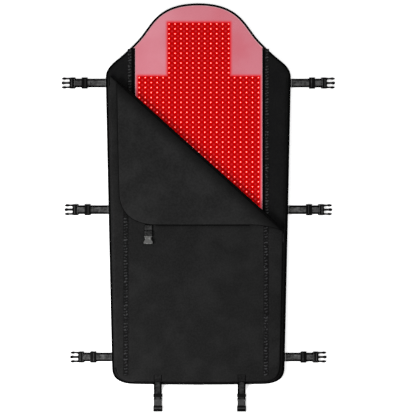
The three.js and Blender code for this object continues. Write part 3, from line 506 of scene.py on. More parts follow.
lit = all_blocks(0.0050, 0.0045)
glowing = all_blocks(0.0040, 0.0180)
halo = spot(0.0, 0.0042, 0.0100)
between = spot(0.5, 0.0015, 0.0085)
haze = cloudy(tree, place, 5.0, 3.0)
flicker = cloudy(tree, place, 60.0, 2.0)
leftward = eased(tree, parts.outputs[0], -0.25, 0.25, 1.0, 0.0)
plain = mixed(tree, leftward, tint(200, 106, 118), tint(209, 133, 145))
plain = mixed(tree, eased(tree, haze, 0.35, 0.65), plain, tint(203, 121, 133))
join_up(tree, mixed(tree, glowing, plain, (0.36, 0.0, 0.0, 1)), shader.inputs["Base Color"])
gap_glow = mixed(tree, flicker, (0.01, 0.0, 0.0, 1), (0.08, 0.0, 0.0, 1))
dim_glow = mixed(tree, flicker, (0.16, 0.008, 0.012, 1), (0.42, 0.022, 0.032, 1))
ring_glow = (0.55, 0.0, 0.0, 1)
rim_glow = mixed(tree, glowing, (0.0, 0.0, 0.0, 1), (0.40, 0.016, 0.026, 1))
glow = mixed(tree, halo, mixed(tree, between, gap_glow, dim_glow), ring_glow)
join_up(tree, mixed(tree, lit, rim_glow, glow), shader.inputs["Emission Color"])
shader.inputs["Emission Strength"].default_value = 1.0
shader.inputs["Specular IOR Level"].default_value = 0.035
join_up(tree, sum_of(tree, "MULTIPLY_ADD", haze, 0.2, 0.25), shader.inputs["Roughness"])
bump = tree.nodes.new("ShaderNodeBump")
bump.inputs["Strength"].default_value = 0.3
bump.inputs["Distance"].default_value = 0.0005
tree.links.new(cloudy(tree, place, 40.0, 2.0), bump.inputs["Height"])
tree.links.new(bump.outputs["Normal"], shader.inputs["Normal"])

panel_rim = rounded(rim_of("light_panel_film", panel_high.z), 0.010)
film_bottom = mat_top + 0.0001


def film_relief(x, y, depth):
    return ripple(x, y, 0.07, 0.0003, 5.0) * min(depth / 0.02, 1)


panel_film = pad(
    "panel_film", panel_rim, film_bottom, panel_high.z, 0.0006, 0.014, film_relief, pink_film
)
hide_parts("light_panel_film")


def turned_area(rim):
    """Plan area inside an outline, positive when it runs anticlockwise."""
    turned = np.roll(rim, -1, 0)
    return 0.5 * float(np.sum(rim[:, 0] * turned[:, 1] - rim[:, 1] * turned[:, 0]))


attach(panel_film, "root")


def faced_out(made):
    """Turns a closed piece's faces round if they face inwards."""
    shape = bmesh.new()
    shape.from_mesh(made.data)
    if shape.calc_volume(signed=True) < 0:
        made.data.flip_normals()
    shape.free()
    return made


def tube_faces(size, count, closed=False):
    """Faces that join rings of points into a tube, with a lid on each end if it is open."""
    faces = []
    for i in range(count if closed else count - 1):
        here, there = i * size, ((i + 1) % count) * size
        for k in range(size):
            n = (k + 1) % size
            faces.append((here + k, here + n, there + n, there + k))
    if not closed:
        faces.append(tuple(range(size))[::-1])
        faces.append(tuple((count - 1) * size + k for k in range(size)))
    return faces


def swept(name, path, rights, section, *materials, closed=False, smooth=True):
    """A section of (out, up) points carried along a path, out along the rights and up along Z."""
    points = [
        (x + r[0] * a, y + r[1] * a, z + b)
        for (x, y, z), r in zip(path, rights)
        for a, b in section
    ]
    faces = tube_faces(len(section), len(path), closed)
    return faced_out(piece(name, points, faces, *materials, smooth=smooth))


def lifted(path, height):
    return np.column_stack([path, np.full(len(path), height)])


weld_pink = moulding("welded_film_edge", tint(205, 150, 158), tint(222, 176, 182), 300.0, 0.35)
weld_section = [(0.0000, 0.0), (0.0006, 0.0004), (0.0022, 0.0005), (0.0030, 0.0)]
weld_section = [(-a - 0.0030, b) for a, b in weld_section][::-1]
weld = swept(
    "panel_weld",
    lifted(panel_rim, panel_high.z),
    across(panel_rim, True),
    weld_section,
    weld_pink,
    closed=True,
)
fit(weld, "panel_film", "root")


def domes(name, places, radius, height, material):
    """Small round caps standing on level places."""
    around = 8
    points, faces = [], []
    levels = [(1.0, 0.0), (0.94, 0.4), (0.65, 0.8), (0.3, 0.97)]
    for x, y, z in places:
        first = len(points)
        for spread, rise in levels:
            for k in range(around):
                turn = 2 * math.pi * k / around
                dx, dy = math.cos(turn), math.sin(turn)
                points.append((x + radius * spread * dx, y + radius * spread * dy, z + rise * height))
        points.append((x, y, z + height))
        for level in range(len(levels) - 1):
            for k in range(around):
                n = (k + 1) % around
                a, b = first + level * around, first + (level + 1) * around
                faces.append((a + k, a + n, b + n, b + k))
        last = first + (len(levels) - 1) * around
        faces += [(last + k, last + (k + 1) % around, len(points) - 1) for k in range(around)]
        faces.append(tuple(first + k for k in range(around))[::-1])
    return piece(name, points, faces, material)


lamp_resin, tree, shader = blank("lamp_resin")
resin_tone = mixed(tree, cloudy(tree, object_place(tree), 300.0), tint(255, 150, 140), tint(255, 190, 180))
join_up(tree, resin_tone, shader.inputs["Base Color"])
core_glow = mixed(tree, cloudy(tree, object_place(tree), 200.0), (1.0, 0.42, 0.36, 1), (1.0, 0.62, 0.55, 1))
join_up(tree, core_glow, shader.inputs["Emission Color"])
shader.inputs["Emission Strength"].default_value = 0.95
shader.inputs["Roughness"].default_value = 0.3
lamp_places = [
    (
        column_shift + i * column_pitch,
        row_start - j * (row_pitch if j > 0 else hood_row_pitch),
        panel_high.z - 0.0002,
    )
    for j in range(-rows_above, rows_below + 1)
    for i in range(-columns_each_side, columns_each_side + 1)
    if j >= 0 or abs(i) <= hood_columns_each_side
]
cap_radius, cap_height = 0.0024, 0.0011
lamps = domes("lamp_caps", lamp_places, cap_radius, cap_height, lamp_resin)
fit(lamps, "lamps", "root")


# ---- Film edging
# A narrow black tape runs round the film's whole rim. Down its two long edges lies a wider flat
# tape as well, with a bright welded line just inside it.
binding_tape = cloth("binding_tape", tint(4, 4, 4), tint(9, 9, 9), 3800.0, 0.8, gloss=0.012)
rim_section = [(0.0004, -0.0008), (0.0, 0.0004), (-0.0026, 0.0005), (-0.0031, 0.0), (-0.0031, -0.0008)]
rim_path = lifted(panel_rim, panel_high.z)
rim_tape = swept("panel_rim_tape", rim_path, across(panel_rim, True), rim_section, binding_tape, closed=True)
fit(rim_tape, "edge_binding", "root")
straight = panel_rim[np.abs(panel_rim[:, 0]) > panel_high.x - 0.002]
for side_name, sign, width in (("left", -1, 0.0125), ("right", 1, 0.0085)):
    ys = np.sort(straight[straight[:, 0] * sign > 0][:, 1])
    run = [(sign * (panel_high.x + 0.0035), y) for y in np.arange(ys[0], ys[-1] + 0.003, 0.012)]
    rights = np.tile([[float(sign), 0.0]], (len(run), 1))
    flat_tape = [(0.0, -0.0008), (-0.0006, 0.0006), (-0.003, 0.0011), (-width, 0.0011)]
    flat_tape += [(-width - 0.0030, 0.0007), (-width - 0.0034, 0.0), (-width - 0.0034, -0.0008)]
    name = "panel_edging_" + side_name
    edging = swept(name, lifted(np.array(run), panel_high.z), rights, flat_tape, binding_tape)
    fit(edging, "edge_binding", "root")
    bright = [(a - width - 0.0056, b) for a, b in ((0, 0), (0.0004, 0.0005), (0.0020, 0.0006), (0.0026, 0))]
    name = "panel_side_weld_" + side_name
    line = swept(name, lifted(np.array(run), panel_high.z), rights, bright, weld_pink)
    fit(line, "panel_film", "root")


# ---- Edge binding
# Black bias tape is folded over the edge of the mat and sewn through, in two lengths that meet
# at the crown and end beside the power inlet.
stitch_thread = cloth("stitch_thread", tint(18, 18, 18), tint(44, 44, 44), 9000.0, 0.6, gloss=0.1)
binding_width = 0.0071
binding_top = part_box("base_binding_left")[1].z
binding_rim = mat_rim + across(mat_rim, True) * binding_width
rim_right = across(binding_rim, True)


def rounded_bar(width, height, corner):
    """Section of a flat tape, from its outer edge inwards, with round corners."""
    steps = 3
    turns = []
    for cx, cy, begin in (
        (-corner, height - corner, 0),
        (-width + corner, height - corner, 1),
        (-width + corner, corner, 2),
        (-corner, corner, 3),
    ):
        for k in range(steps + 1):
            angle = (begin + k / steps) * math.pi / 2
            turns.append((cx + corner * math.cos(angle), cy + corner * math.sin(angle)))
    return turns


def capsules(name, path, pitch, length, radius, material):
    """A run of stitches laid along a path."""
    path = [Vector(p) for p in path]
    up = Vector((0, 0, 1))
    points, faces = [], []
    spare, wanted = 0.0, pitch / 2
    for a, b in zip(path, path[1:]):
        run = b - a
        reach = run.length
        if reach < 1e-9:
            continue
        along = run / reach
        side = along.cross(up).normalized()
        while wanted <= spare + reach:
            middle = a + along * (wanted - spare)
            first = len(points)
            for place, girth in ((-0.5, 0.35), (-0.3, 1.0), (0.3, 1.0), (0.5, 0.35)):
                for k in range(6):
                    turn = k * math.pi / 3
                    ring = side * math.cos(turn) + up * math.sin(turn)
                    points.append(middle + along * place * length + ring * radius * girth)
            for level in range(3):
                for k in range(6):
                    n = (k + 1) % 6
                    here, there = first + level * 6, first + level * 6 + 6
                    faces.append((here + k, there + k, there + n, here + n))
            faces.append(tuple(first + k for k in range(6)))
            faces.append(tuple(first + 18 + k for k in range(6))[::-1])
            wanted += pitch
        spare += reach
    return piece(name, points, faces, material)


inlet_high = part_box("power_inlet")[1]
crown_index = int(np.argmax(binding_rim[:, 1] - 10 * np.abs(binding_rim[:, 0])))
order = np.roll(np.arange(len(binding_rim)), -crown_index)
loop, loop_right = binding_rim[order], rim_right[order]
beside_inlet = (loop[:, 1] < inlet_high.y) & (np.abs(loop[:, 0]) < inlet_high.x + 0.0004)
foot_gap = np.flatnonzero(beside_inlet)
binding_section = rounded_bar(binding_width + 0.0014, binding_top, 0.0034)
binding_section = [(a, b + 0.0006 * (a > -0.002)) for a, b in binding_section]
halves = {
    "left": (loop[: foot_gap[0]], loop_right[: foot_gap[0]]),
    "right": (
        np.concatenate([loop[foot_gap[-1] + 1 :], loop[:1]]),
        np.concatenate([loop_right[foot_gap[-1] + 1 :], loop_right[:1]]),
    ),
}
for side_name, (run, rights) in halves.items():
    end = -1 if side_name == "left" else 0
    stop = (math.copysign(inlet_high.x + 0.0006, run[end][0]), run[end][1])
    run = np.insert(run, len(run) if end else 0, stop, 0)
    rights = np.insert(rights, len(rights) if end else 0, rights[end], 0)
    wavy = run + rights * np.array([[0.0001 * math.sin(i * 1.9)] for i in range(len(run))])
    tape = swept("binding_" + side_name, lifted(wavy, 0.0), rights, binding_section, binding_tape)
    fit(tape, "edge_binding", "root", "base_binding_" + side_name)
    seam = lifted(run - rights * 0.0052, binding_top + 0.0001)
    sewn = capsules("binding_stitches_" + side_name, seam, 0.0055, 0.0036, 0.00035, binding_tape)
    fit(sewn, "edge_binding", "root")


# ---- Gathered seam tapes
# Elastic tape sewn down beside the window and along the cover's panels gathers the cloth into
# short puckers. The window's pair has a row of stitches down each edge.
def gathered(name, low, high, crest_highlight_tint):
    """Elastic tape with a painted highlight on the crests of its puckers, between two heights."""
    material = cloth(name, tint(8, 8, 8), tint(18, 18, 18), 3000.0, 0.7, gloss=0.07, rub=60.0)
    tree = material.node_tree
    colour = tree.nodes["Principled BSDF"].inputs["Base Color"]
    plain = colour.links[0].from_socket
    parts = tree.nodes.new("ShaderNodeSeparateXYZ")
    tree.links.new(object_place(tree), parts.inputs[0])
    # Painted highlight: the upper half of each pucker is lightened, broken up by noise.
    painted_crest_highlight = eased(tree, parts.outputs[2], low + (high - low) * 0.25, low + (high - low) * 0.75)
    broken = eased(tree, cloudy(tree, object_place(tree), 110.0, 2.0), 0.38, 0.58)
    join_up(tree, mixed(tree, sum_of(tree, "MULTIPLY", painted_crest_highlight, broken), plain, crest_highlight_tint), colour)
    return material


def gathers(name, x0, x1, y0, y1, base, top_at, material):
    """A tape with puckers across it every few millimetres; top_at gives their height at y."""
    across_count, rows = 10, max(8, round((y1 - y0) / 0.0023))

    def at(u, v):
        y = y0 + (y1 - y0) * v
        sway = noise.noise(Vector((y / 0.02, x0 * 9, 2.0)))
        fold = math.sin(2 * math.pi * (y + 0.002 * math.sin(u * 5 + sway * 4)) / 0.0141 + sway)
        ridge = (0.5 + 0.5 * fold) ** 0.7 * (0.75 + 0.5 * noise.noise(Vector((y / 0.011, x0, 7.0))))
        belly = math.sin(math.pi * min(max(u, 0), 1)) ** 0.6
        x = x0 + (x1 - x0) * u + 0.0006 * fold * (u - 0.5) * 2
        return (x, y, base + 0.0003 + (top_at(y) - base) * ridge * belly)

    upper, faces = grid(across_count, rows, at)
    count, row = len(upper), across_count + 1
    lower = [(x, y, base) for x, y, _ in upper]
    under = [tuple(i + count for i in reversed(f)) for f in faces]
    edge = [j * row for j in range(rows + 1)], [j * row + across_count for j in range(rows + 1)]
    ends = list(range(row)), list(range(rows * row, rows * row + row))
    for line, turn in ((edge[0], 1), (edge[1], 0), (ends[0], 0), (ends[1], 1)):
        for a, b in zip(line, line[1:]):
            wall = (a, b, b + count, a + count)
            under.append(wall if turn else wall[::-1])
    return piece(name, upper + lower, faces + under, material)


base_ridge_top = 0.0222
base_tape = gathered("base_gathered_tape", mat_top, base_ridge_top, tint(62, 62, 63))
for side_name in ("left", "right"):
    low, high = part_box("base_seam_tape_" + side_name)
    name = "base_gathers_" + side_name
    tape = gathers(name, low.x, high.x, low.y, high.y, mat_top, lambda y: base_ridge_top, base_tape)
    fit(tape, "ruched_tape", "root", "base_seam_tape_" + side_name)
    for edge_name, x in (("inner", low.x - 0.0014), ("outer", high.x + 0.0014)):
        run = [(x, y, mat_top + 0.0007) for y in np.arange(low.y, high.y, 0.02)]
        sewn = capsules(f"{name}_{edge_name}_stitches", run, 0.005, 0.0034, 0.0004, stitch_thread)
        fit(sewn, "ruched_tape", "root")


# ---- Cover
# The padded cover is sewn to the mat down its left side. Coated nylon over wadding, with a
# smooth lining, it lies over the body and stops at the fold of its turned-back corner.
cover_nylon = cloth("cover_nylon", tint(16, 16, 16), tint(33, 33, 33), rough=0.66, gloss=0.07)
lining_cloth = cloth("lining_cloth", tint(19, 19, 19), tint(37, 37, 37), 3400.0, 0.7, gloss=0.08)
cover_low, cover_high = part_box("cover_outer")
cover_rim = rounded(rim_of("cover_outer", cover_high.z), 0.009)
fold_joint = next(joint for joint in frame["joints"] if joint["name"] == "flap_fold")
fold_way = -np.array(fold_joint["axis"][:2])
fold_over = np.array([-fold_way[1], fold_way[0]])
by_fold = cover_rim[np.argsort(cover_rim @ fold_over)[-6:]]
fold_line = float((by_fold @ fold_over).max()) + 0.002
flap_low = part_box("flap_outer")[0]


def under_flap(x, y):
    """Whether a point of the cover lies beneath the turned-back corner."""
    return flap_low.x - 0.01 < x and y > -0.12 and x * fold_over[0] + y * fold_over[1] < fold_line


def cover_relief(x, y, depth):
    """Soft quilting: the cloth is drawn down at the edge seam and ripples towards it."""
    rolls = ripple(x, y, 0.16, 0.0011, 1.0) + ripple(x, y, 0.045, 0.0005, 4.0)
    drawn = -0.0012 * math.exp(-((depth - 0.012) / 0.004) ** 2)
    return (drawn + rolls) if not under_flap(x, y) else min(0.0, 0.5 * rolls)


padded_edge, padded_mesh, layer_gap = 0.0048, 0.012, 0.0002
cover_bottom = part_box("cover_lining")[1].z + layer_gap
cover_pad = pad(
    "cover_pad", cover_rim, cover_bottom, cover_high.z, padded_edge, padded_mesh, cover_relief, cover_nylon
)
fit(cover_pad, "coated_fabric", "cover", "cover_outer", "cover_wadding")


def lining(name, rim, node, body, material):
    """A thin smooth cloth inside a padded layer's edge."""
    low, high = (corner.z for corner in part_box(node))
    inner = rim - across(rim, True) * 0.003

    def relief(x, y, depth):
        return ripple(x, y, 0.06, 0.00035, 6.0) * min(depth / 0.01, 1)

    made = pad(name, inner, low, high, 0.0005, 0.016, relief, material)
    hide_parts(node)
    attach(made, body)
    return made


lining("cover_lining_cloth", cover_rim, "cover_lining", "cover", lining_cloth)
cover_ridge_top, pressed_top = 0.0402, 0.0385
cover_tape = gathered("cover_gathered_tape", cover_high.z, cover_ridge_top, tint(54, 54, 55))
for side_name in ("left", "right"):
    low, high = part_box("cover_seam_tape_" + side_name)
    pressed_from = -0.046 if side_name == "left" else math.inf

    def ridge_top(y, pressed_from=pressed_from):
        """The left tape's puckers are pressed flat where the flap lies on them."""
        return pressed_top if y > pressed_from else cover_ridge_top

    name = "cover_gathers_" + side_name
    tape = gathers(name, low.x, high.x, low.y, high.y, cover_high.z - 0.0003, ridge_top, cover_tape)
    fit(tape, "ruched_tape", "cover", "cover_seam_tape_" + side_name)


# ---- Flap, the turned-back corner of the cover
# The corner nearest the head and the zip is folded down and to the left, so its lining is on
# top. A soft roll of cloth and wadding joins it to the cover along the fold.
flap_rim = rounded(rim_of("flap_outer", flap_low.z), 0.009)
flap_cloth = cloth("flap_lining_cloth", tint(19, 19, 19), tint(37, 37, 37), 3400.0, 0.7, gloss=0.08)
tree = flap_cloth.node_tree
shader = tree.nodes["Principled BSDF"]
plain = shader.inputs["Base Color"].links[0].from_socket
away = tree.nodes.new("ShaderNodeVectorMath")
away.operation = "DOT_PRODUCT"
tree.links.new(object_place(tree), away.inputs[0])
away.inputs[1].default_value = (fold_over[0], fold_over[1], 0.0)
# Painted shade: the lining's colour darkens towards the fold, nearly to black beside the roll.
painted_fold_shade = eased(tree, away.outputs["Value"], fold_line - 0.075, fold_line + 0.004, 0.0, 0.9)
join_up(tree, mixed(tree, painted_fold_shade, plain, tint(5, 5, 5)), shader.inputs["Base Color"])
# Near-black cloth: painted shade on the fold roll, which is really the cover's nylon; the flap's piping is
# made in it too.
fold_shade_and_piping_cloth = cloth("fold_shade_and_piping_cloth", tint(5, 5, 5), tint(11, 11, 11), 3400.0, 0.8, gloss=0.03, rub=40.0)
flap_lining_low, flap_lining_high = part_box("flap_lining")


def flap_relief(x, y, depth):
    rolls = ripple(x, y, 0.19, 0.0009, 11.0) + ripple(x, y, 0.05, 0.0004, 14.0)
    return 0.3 * rolls - 0.0003


flap_top = flap_lining_low.z - layer_gap
flap_pad = pad(
    "flap_pad", flap_rim, flap_low.z, flap_top, padded_edge, padded_mesh, flap_relief, cover_nylon
)
fit(flap_pad, "coated_fabric", "flap", "flap_outer", "flap_wadding")
lining("flap_lining_cloth", flap_rim, "flap_lining", "flap", flap_cloth)

flap_free = np.flatnonzero(flap_rim @ fold_over < fold_line - 0.006)
gaps = np.flatnonzero(np.diff(flap_free) > 1)
if len(gaps):
    flap_free = np.roll(flap_free, -(gaps[0] + 1))
piped = flap_rim[flap_free]
piping_section = rounded_bar(0.0036, flap_lining_high.z - flap_low.z, 0.0016)
flap_piping = swept(
    "flap_piping", lifted(piped, flap_low.z + 0.0002), across(piped, False), piping_section, fold_shade_and_piping_cloth
)
fit(flap_piping, "edge_binding", "flap")

fold_axis_z = (cover_high.z + flap_low.z) / 2
cover_ends = [p @ fold_way for p in cover_rim if p @ fold_over > fold_line - 0.0045]
flap_ends = [p @ fold_way for p in flap_rim if p @ fold_over > fold_line - 0.0045]
roll_start = max(min(cover_ends), min(flap_ends)) + 0.001
roll_end = min(max(cover_ends), max(flap_ends)) - 0.001
roll_radius = flap_lining_high.z - fold_axis_z
core_radius, roll_set_back, roll_steps = 0.0008, 0.0018, 90
quarter_turns = [math.pi * (k / 16 - 0.5) for k in range(17)]
roll_section = [
    (roll_radius * math.cos(t) * 0.92 - roll_set_back, roll_radius * math.sin(t)) for t in quarter_turns
]
roll_section += [
    (core_radius * math.cos(t) - roll_set_back, core_radius * math.sin(t)) for t in reversed(quarter_turns)
]
roll_path, roll_rights = [], []
for i in range(roll_steps + 1):
    run = roll_start + (roll_end - roll_start) * i / roll_steps
    foot = fold_over * fold_line + fold_way * run
    taper = min(1.0, 0.55 + 8.0 * min(i, roll_steps - i) / roll_steps)
    wobble = 1 + 0.05 * noise.noise(Vector((run / 0.05, 0, 9.0)))
    roll_path.append((foot[0], foot[1], fold_axis_z))
    roll_rights.append(fold_over * taper * wobble)
# The roll is painted near black as the shade inside the fold.
fold_roll = swept("fold_roll", roll_path, roll_rights, roll_section, fold_shade_and_piping_cloth)
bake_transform(fold_roll)
hem_low, hem_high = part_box("zip_tape_flap")
hem_seam_y, hem_seam_z = hem_high.y + 0.006, flap_lining_high.z + 0.0001
hem_run = [(x, hem_seam_y, hem_seam_z) for x in np.arange(hem_low.x, hem_high.x, 0.02)]
hem_stitches = capsules("flap_hem_stitches", hem_run, 0.005, 0.0034, 0.0004, stitch_thread)
fit(hem_stitches, "lining_fabric", "flap")


# ---- Left seam
# A pleat of the same nylon is sewn to the mat and turns up into the cover's left edge, and works
# as the hinge.
gusset_low, gusset_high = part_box("base_left_gusset")
left_edge = cover_rim[(cover_rim[:, 0] < cover_low.x + 0.05) & (cover_rim[:, 1] < gusset_high.y)]
left_edge = left_edge[(left_edge[:, 1] > cover_low.y + 0.06)]
left_edge = left_edge[np.argsort(left_edge[:, 1])]
left_edge = rounded(left_edge, 0.012, closed=False)
pleat_out = np.tile([[-1.0, 0.0]], (len(left_edge), 1))
pleat_base, pleat_top = gusset_low.z - 0.0016, cover_low.z + 0.0050
pleat_line = []
for k in range(13):
    share = k / 12
    bow = 0.0075 * math.sin(math.pi * share) ** 0.8
    pleat_line.append((bow, pleat_base + (pleat_top - pleat_base) * share))
pleat_section = pleat_line + [(a - 0.0012, b) for a, b in reversed(pleat_line)]
left_pleat = swept("left_pleat", lifted(left_edge, 0.0), pleat_out, pleat_section, cover_nylon)
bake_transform(left_pleat)
dress(cover_nylon, "base_left_gusset")


# ---- Zip
# A coarse plastic zip runs down the right side and round the foot. One tape stands on the mat's
# rim, the other is sewn to the cover, and the flap's part of it shows along its hem.
zip_teeth = moulding("zip_teeth_plastic", tint(9, 9, 9), tint(22, 22, 22), 900.0, 0.5, gloss=0.12)
zip_cloth = cloth("zip_cloth", tint(7, 7, 7), tint(15, 15, 15), 4200.0, 0.75, gloss=0.04)
zip_centre = (-0.1, -0.3)


def chain_points(node, inner):
    """A zip tape's inner or outer row of corner points, from the head round to the foot."""

    def turn(point):
        return math.atan2(point[1] - zip_centre[1], point[0] - zip_centre[0])

    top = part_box(node)[1].z
    near = sorted(level_points(node, top, 1e-4), key=turn, reverse=True)
    kept = []
    for point in near:
        beside = [q for q in near if math.dist(point, q) < 0.0035 and q != point]
        reach = math.dist(point, zip_centre)
        rivals = [math.dist(q, zip_centre) for q in beside]
        if (reach < min(rivals, default=9)) == inner:
            kept.append(point)
    return rounded(kept, 0.006, closed=False)


def zip_half(name, node, body, inner, sign):
    """One tape of the zip: the mat's is turned down to the rim, the cover's lies flat."""
    line = chain_points(node, inner)
    rights = across(line, False) * sign
    chain_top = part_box(node)[1].z
    tape_top, tape_low, rim_z = chain_top - 0.0008, chain_top - 0.0022, 0.0206
    if inner:
        section = [
            (0.0, tape_low), (-0.0050, tape_low), (-0.0056, rim_z), (-0.0071, rim_z),
            (-0.0071, tape_low + 0.0006), (-0.0062, tape_top), (0.0, tape_top),
        ]
    else:
        section = [(0.0, tape_low), (-0.0037, tape_low), (-0.0037, tape_top), (0.0, tape_top)]
    tape = swept(name, lifted(line, 0.0), rights, section, zip_cloth)
    fit(tape, "coated_fabric", body, node)
    return line, rights, chain_top


def teeth(name, line, rights, low, high, body, phase):
    """Moulded teeth along a zip's inner edge, each a block with a rounded head."""
    points, faces = [], []
    spare, wanted, pitch = 0.0, phase, 0.0030
    for (a, b, right) in zip(line, line[1:], rights):
        run = b - a
        reach = np.linalg.norm(run)
        along = run / max(reach, 1e-9)
        while wanted <= spare + reach:
            middle = a + along * (wanted - spare)
            first = len(points)
            for z in (low, high):
                for out_by, half in ((-0.0024, 0.0009), (-0.0006, 0.0011), (0.0, 0.0006)):
                    for sign in (-1, 1):
                        spot_at = middle + right * out_by + along * half * sign
                        points.append((spot_at[0], spot_at[1], z))
            n = first
            faces += [
                (n, n + 1, n + 3, n + 2), (n + 2, n + 3, n + 5, n + 4),
                (n + 6, n + 8, n + 9, n + 7), (n + 8, n + 10, n + 11, n + 9),
                (n, n + 6, n + 7, n + 1), (n + 4, n + 5, n + 11, n + 10),
                (n, n + 2, n + 8, n + 6), (n + 2, n + 4, n + 10, n + 8),
                (n + 1, n + 7, n + 9, n + 3), (n + 3, n + 9, n + 11, n + 5),
            ]
            wanted += pitch
        spare += reach
    fit(faced_out(piece(name, points, faces, zip_teeth, smooth=False)), "zip_metal", body)


tooth_height = 0.003
line, rights, top = zip_half("zip_tape_mat", "zip_tape_base", "root", True, 1)
teeth("zip_teeth_mat", line, rights, top - tooth_height, top, "root", 0.0010)
line, rights, top = zip_half("zip_tape_cover_side", "zip_tape_cover", "cover", False, -1)
teeth("zip_teeth_cover", line, rights, top - tooth_height, top, "cover", 0.0022)

hem_line = np.array([(x, hem_low.y) for x in np.arange(hem_low.x, hem_high.x, 0.006)])
hem_rights = np.tile([[0.0, -1.0]], (len(hem_line), 1))
hem_section = [(0.0, hem_low.z), (0.0, hem_high.z), (-0.0062, hem_high.z), (-0.0062, hem_low.z)]
hem_tape = swept("zip_tape_hem", lifted(hem_line, 0.0), hem_rights, hem_section, zip_cloth)
fit(hem_tape, "coated_fabric", "flap", "zip_tape_flap")
teeth("zip_teeth_hem", hem_line, hem_rights, hem_low.z - 0.0006, hem_high.z + 0.0006, "flap", 0.001)

zip_steel = moulding("blackened_zip_metal", tint(14, 14, 15), tint(34, 34, 36), 500.0, 0.4, metal=0.6)
dress(zip_steel, "zip_slider", "zip_puller")


# ---- Webbing straps
# Polypropylene webbing is sewn to the mat's edge, looped round each buckle's bar and led back
# through its adjuster. The end straps and flap strap are made the same way.
def belt_finish(name, dark, pale):
    """Ribbed webbing, rubbed from a dark grey to a paler one."""
    return cloth(name, tint(dark, dark, dark), tint(pale, pale, pale), 3100.0, 0.8, 0.0006, 0.04, rub=48.0)


belt_cloth = belt_finish("belt_webbing", 16, 96)
end_cloth = belt_finish("end_belt_webbing", 14, 58)
patch_cloth = belt_finish("end_patch_webbing", 14, 36)
# Near-black lanes down the webbing's edges: painted shade along its thickness.
belt_edge_shade = cloth("belt_edge_shade", tint(3, 3, 3), tint(8, 8, 8), 3100.0, 0.85, gloss=0.012)


def webbing(name, node, body, start, way, profile, width, finish=belt_cloth, shaded_edge_ribs=3):
    """Webbing along (out, height) points from its sewn end. Out runs along way, on the level."""
    line = rounded(profile, 0.0035, closed=False)
    way = Vector((*way, 0)).normalized()
    side = Vector((-way.y, way.x, 0))
    runs = np.gradient(line, axis=0)
    runs /= np.linalg.norm(runs, axis=1)[:, None]
    count, ribs, half_thick = len(line), 14, 0.0008
    rows = []
    for (out_by, z), (ru, rz) in zip(line, runs):
        middle = start + way * out_by
        middle = Vector((middle.x, middle.y, z))
        normal = Vector((-rz * way.x, -rz * way.y, ru))
        ring = []
        for face in (1, -1):
            for k in range(ribs + 1):
                share = k / ribs
                share = share if face > 0 else 1 - share
                thin = 0.35 if share in (0, 1) else 1.0
                rib = 1.0 + (0.06 if k % 2 else -0.06)
                rise = face * half_thick * thin * rib
                ring.append(middle + side * (share - 0.5) * width + normal * rise)
        rows.append(ring)
    size = len(rows[0])
    points = [point for ring in rows for point in ring]
    made = faced_out(piece(name, points, tube_faces(size, count), finish, belt_edge_shade))
    # Painted shade: the outermost ribs on each face take the near-black edge cloth.
    dark = [min(k % (ribs + 1), ribs - 1 - k % (ribs + 1)) < shaded_edge_ribs for k in range(size)]
    marks = dark * (count - 1) + [0, 0]
    made.data.polygons.foreach_set("material_index", marks)
    fit(made, "webbing", body, *([node] if node else []))


loop_radius = 0.0034


def loop_round(bar, height):
    """Half a turn of webbing round a bar, from below to above."""
    turns = [-90 + 20 * k for k in range(10)]
    return [
        (bar + loop_radius * math.cos(math.radians(t)), height + loop_radius * math.sin(math.radians(t)))
        for t in turns
    ]


def box_stitch(name, corner_a, corner_b, body):
    """A sewn rectangle with one diagonal in it."""
    (x0, y0, z), (x1, y1, _) = corner_a, corner_b
    run = [(x0, y0, z), (x1, y0, z), (x1, y1, z), (x0, y1, z), (x0, y0, z), (x1, y1, z)]
    fit(capsules(name, run, 0.0032, 0.0022, 0.00035, stitch_thread), "webbing", body)


side_extra, end_extra, patch_extra, flap_extra = 0.003, 0.004, 0.002, 0.006
bar_to_tip, adjuster_reach, sewn_length, half_box = 0.0042, 0.0302, 0.0034, 0.016
for side_name, sign in (("left", -1), ("right", 1)):
    for row_name in ("head", "middle", "foot"):
        label = f"{side_name}_{row_name}"
        low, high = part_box("webbing_" + label)
        near = high.x if sign < 0 else low.x
        far = low.x if sign < 0 else high.x
        width = high.y - low.y + side_extra
        start = Vector((near, (low.y + high.y) / 2, 0))
        bar = abs(far - near) - bar_to_tip
        turn = bar - adjuster_reach
        profile = [(0.0009, 0.004), (0.012, 0.0038), (turn * 0.5, 0.0041), (turn - 0.002, 0.004)]
        profile += [(turn + 0.012, 0.0034)] + loop_round(bar, 0.006)
        profile += [(turn + 0.010, 0.0078), (turn - 0.002, 0.0062)]
        profile += [(turn - 0.030, 0.006), (turn - 0.043, 0.0062)]
        webbing("belt_" + label, "webbing_" + label, "strap_" + label, start, (sign, 0), profile, width)
        root_end = Vector((near - sign * sewn_length, start.y, 0))
        stub = [(0.0, 0.004), (0.0012, 0.004), (0.0024, 0.004), (0.0037, 0.004)]
        webbing("sewn_end_" + label, None, "root", root_end, (sign, 0), stub, width)
        inner, outer = near - sign * 0.009, near - sign * 0.026
        corner = (inner, start.y - half_box, binding_top + 0.0002)
        box_stitch("sewn_box_" + label, corner, (outer, start.y + half_box, binding_top), "root")

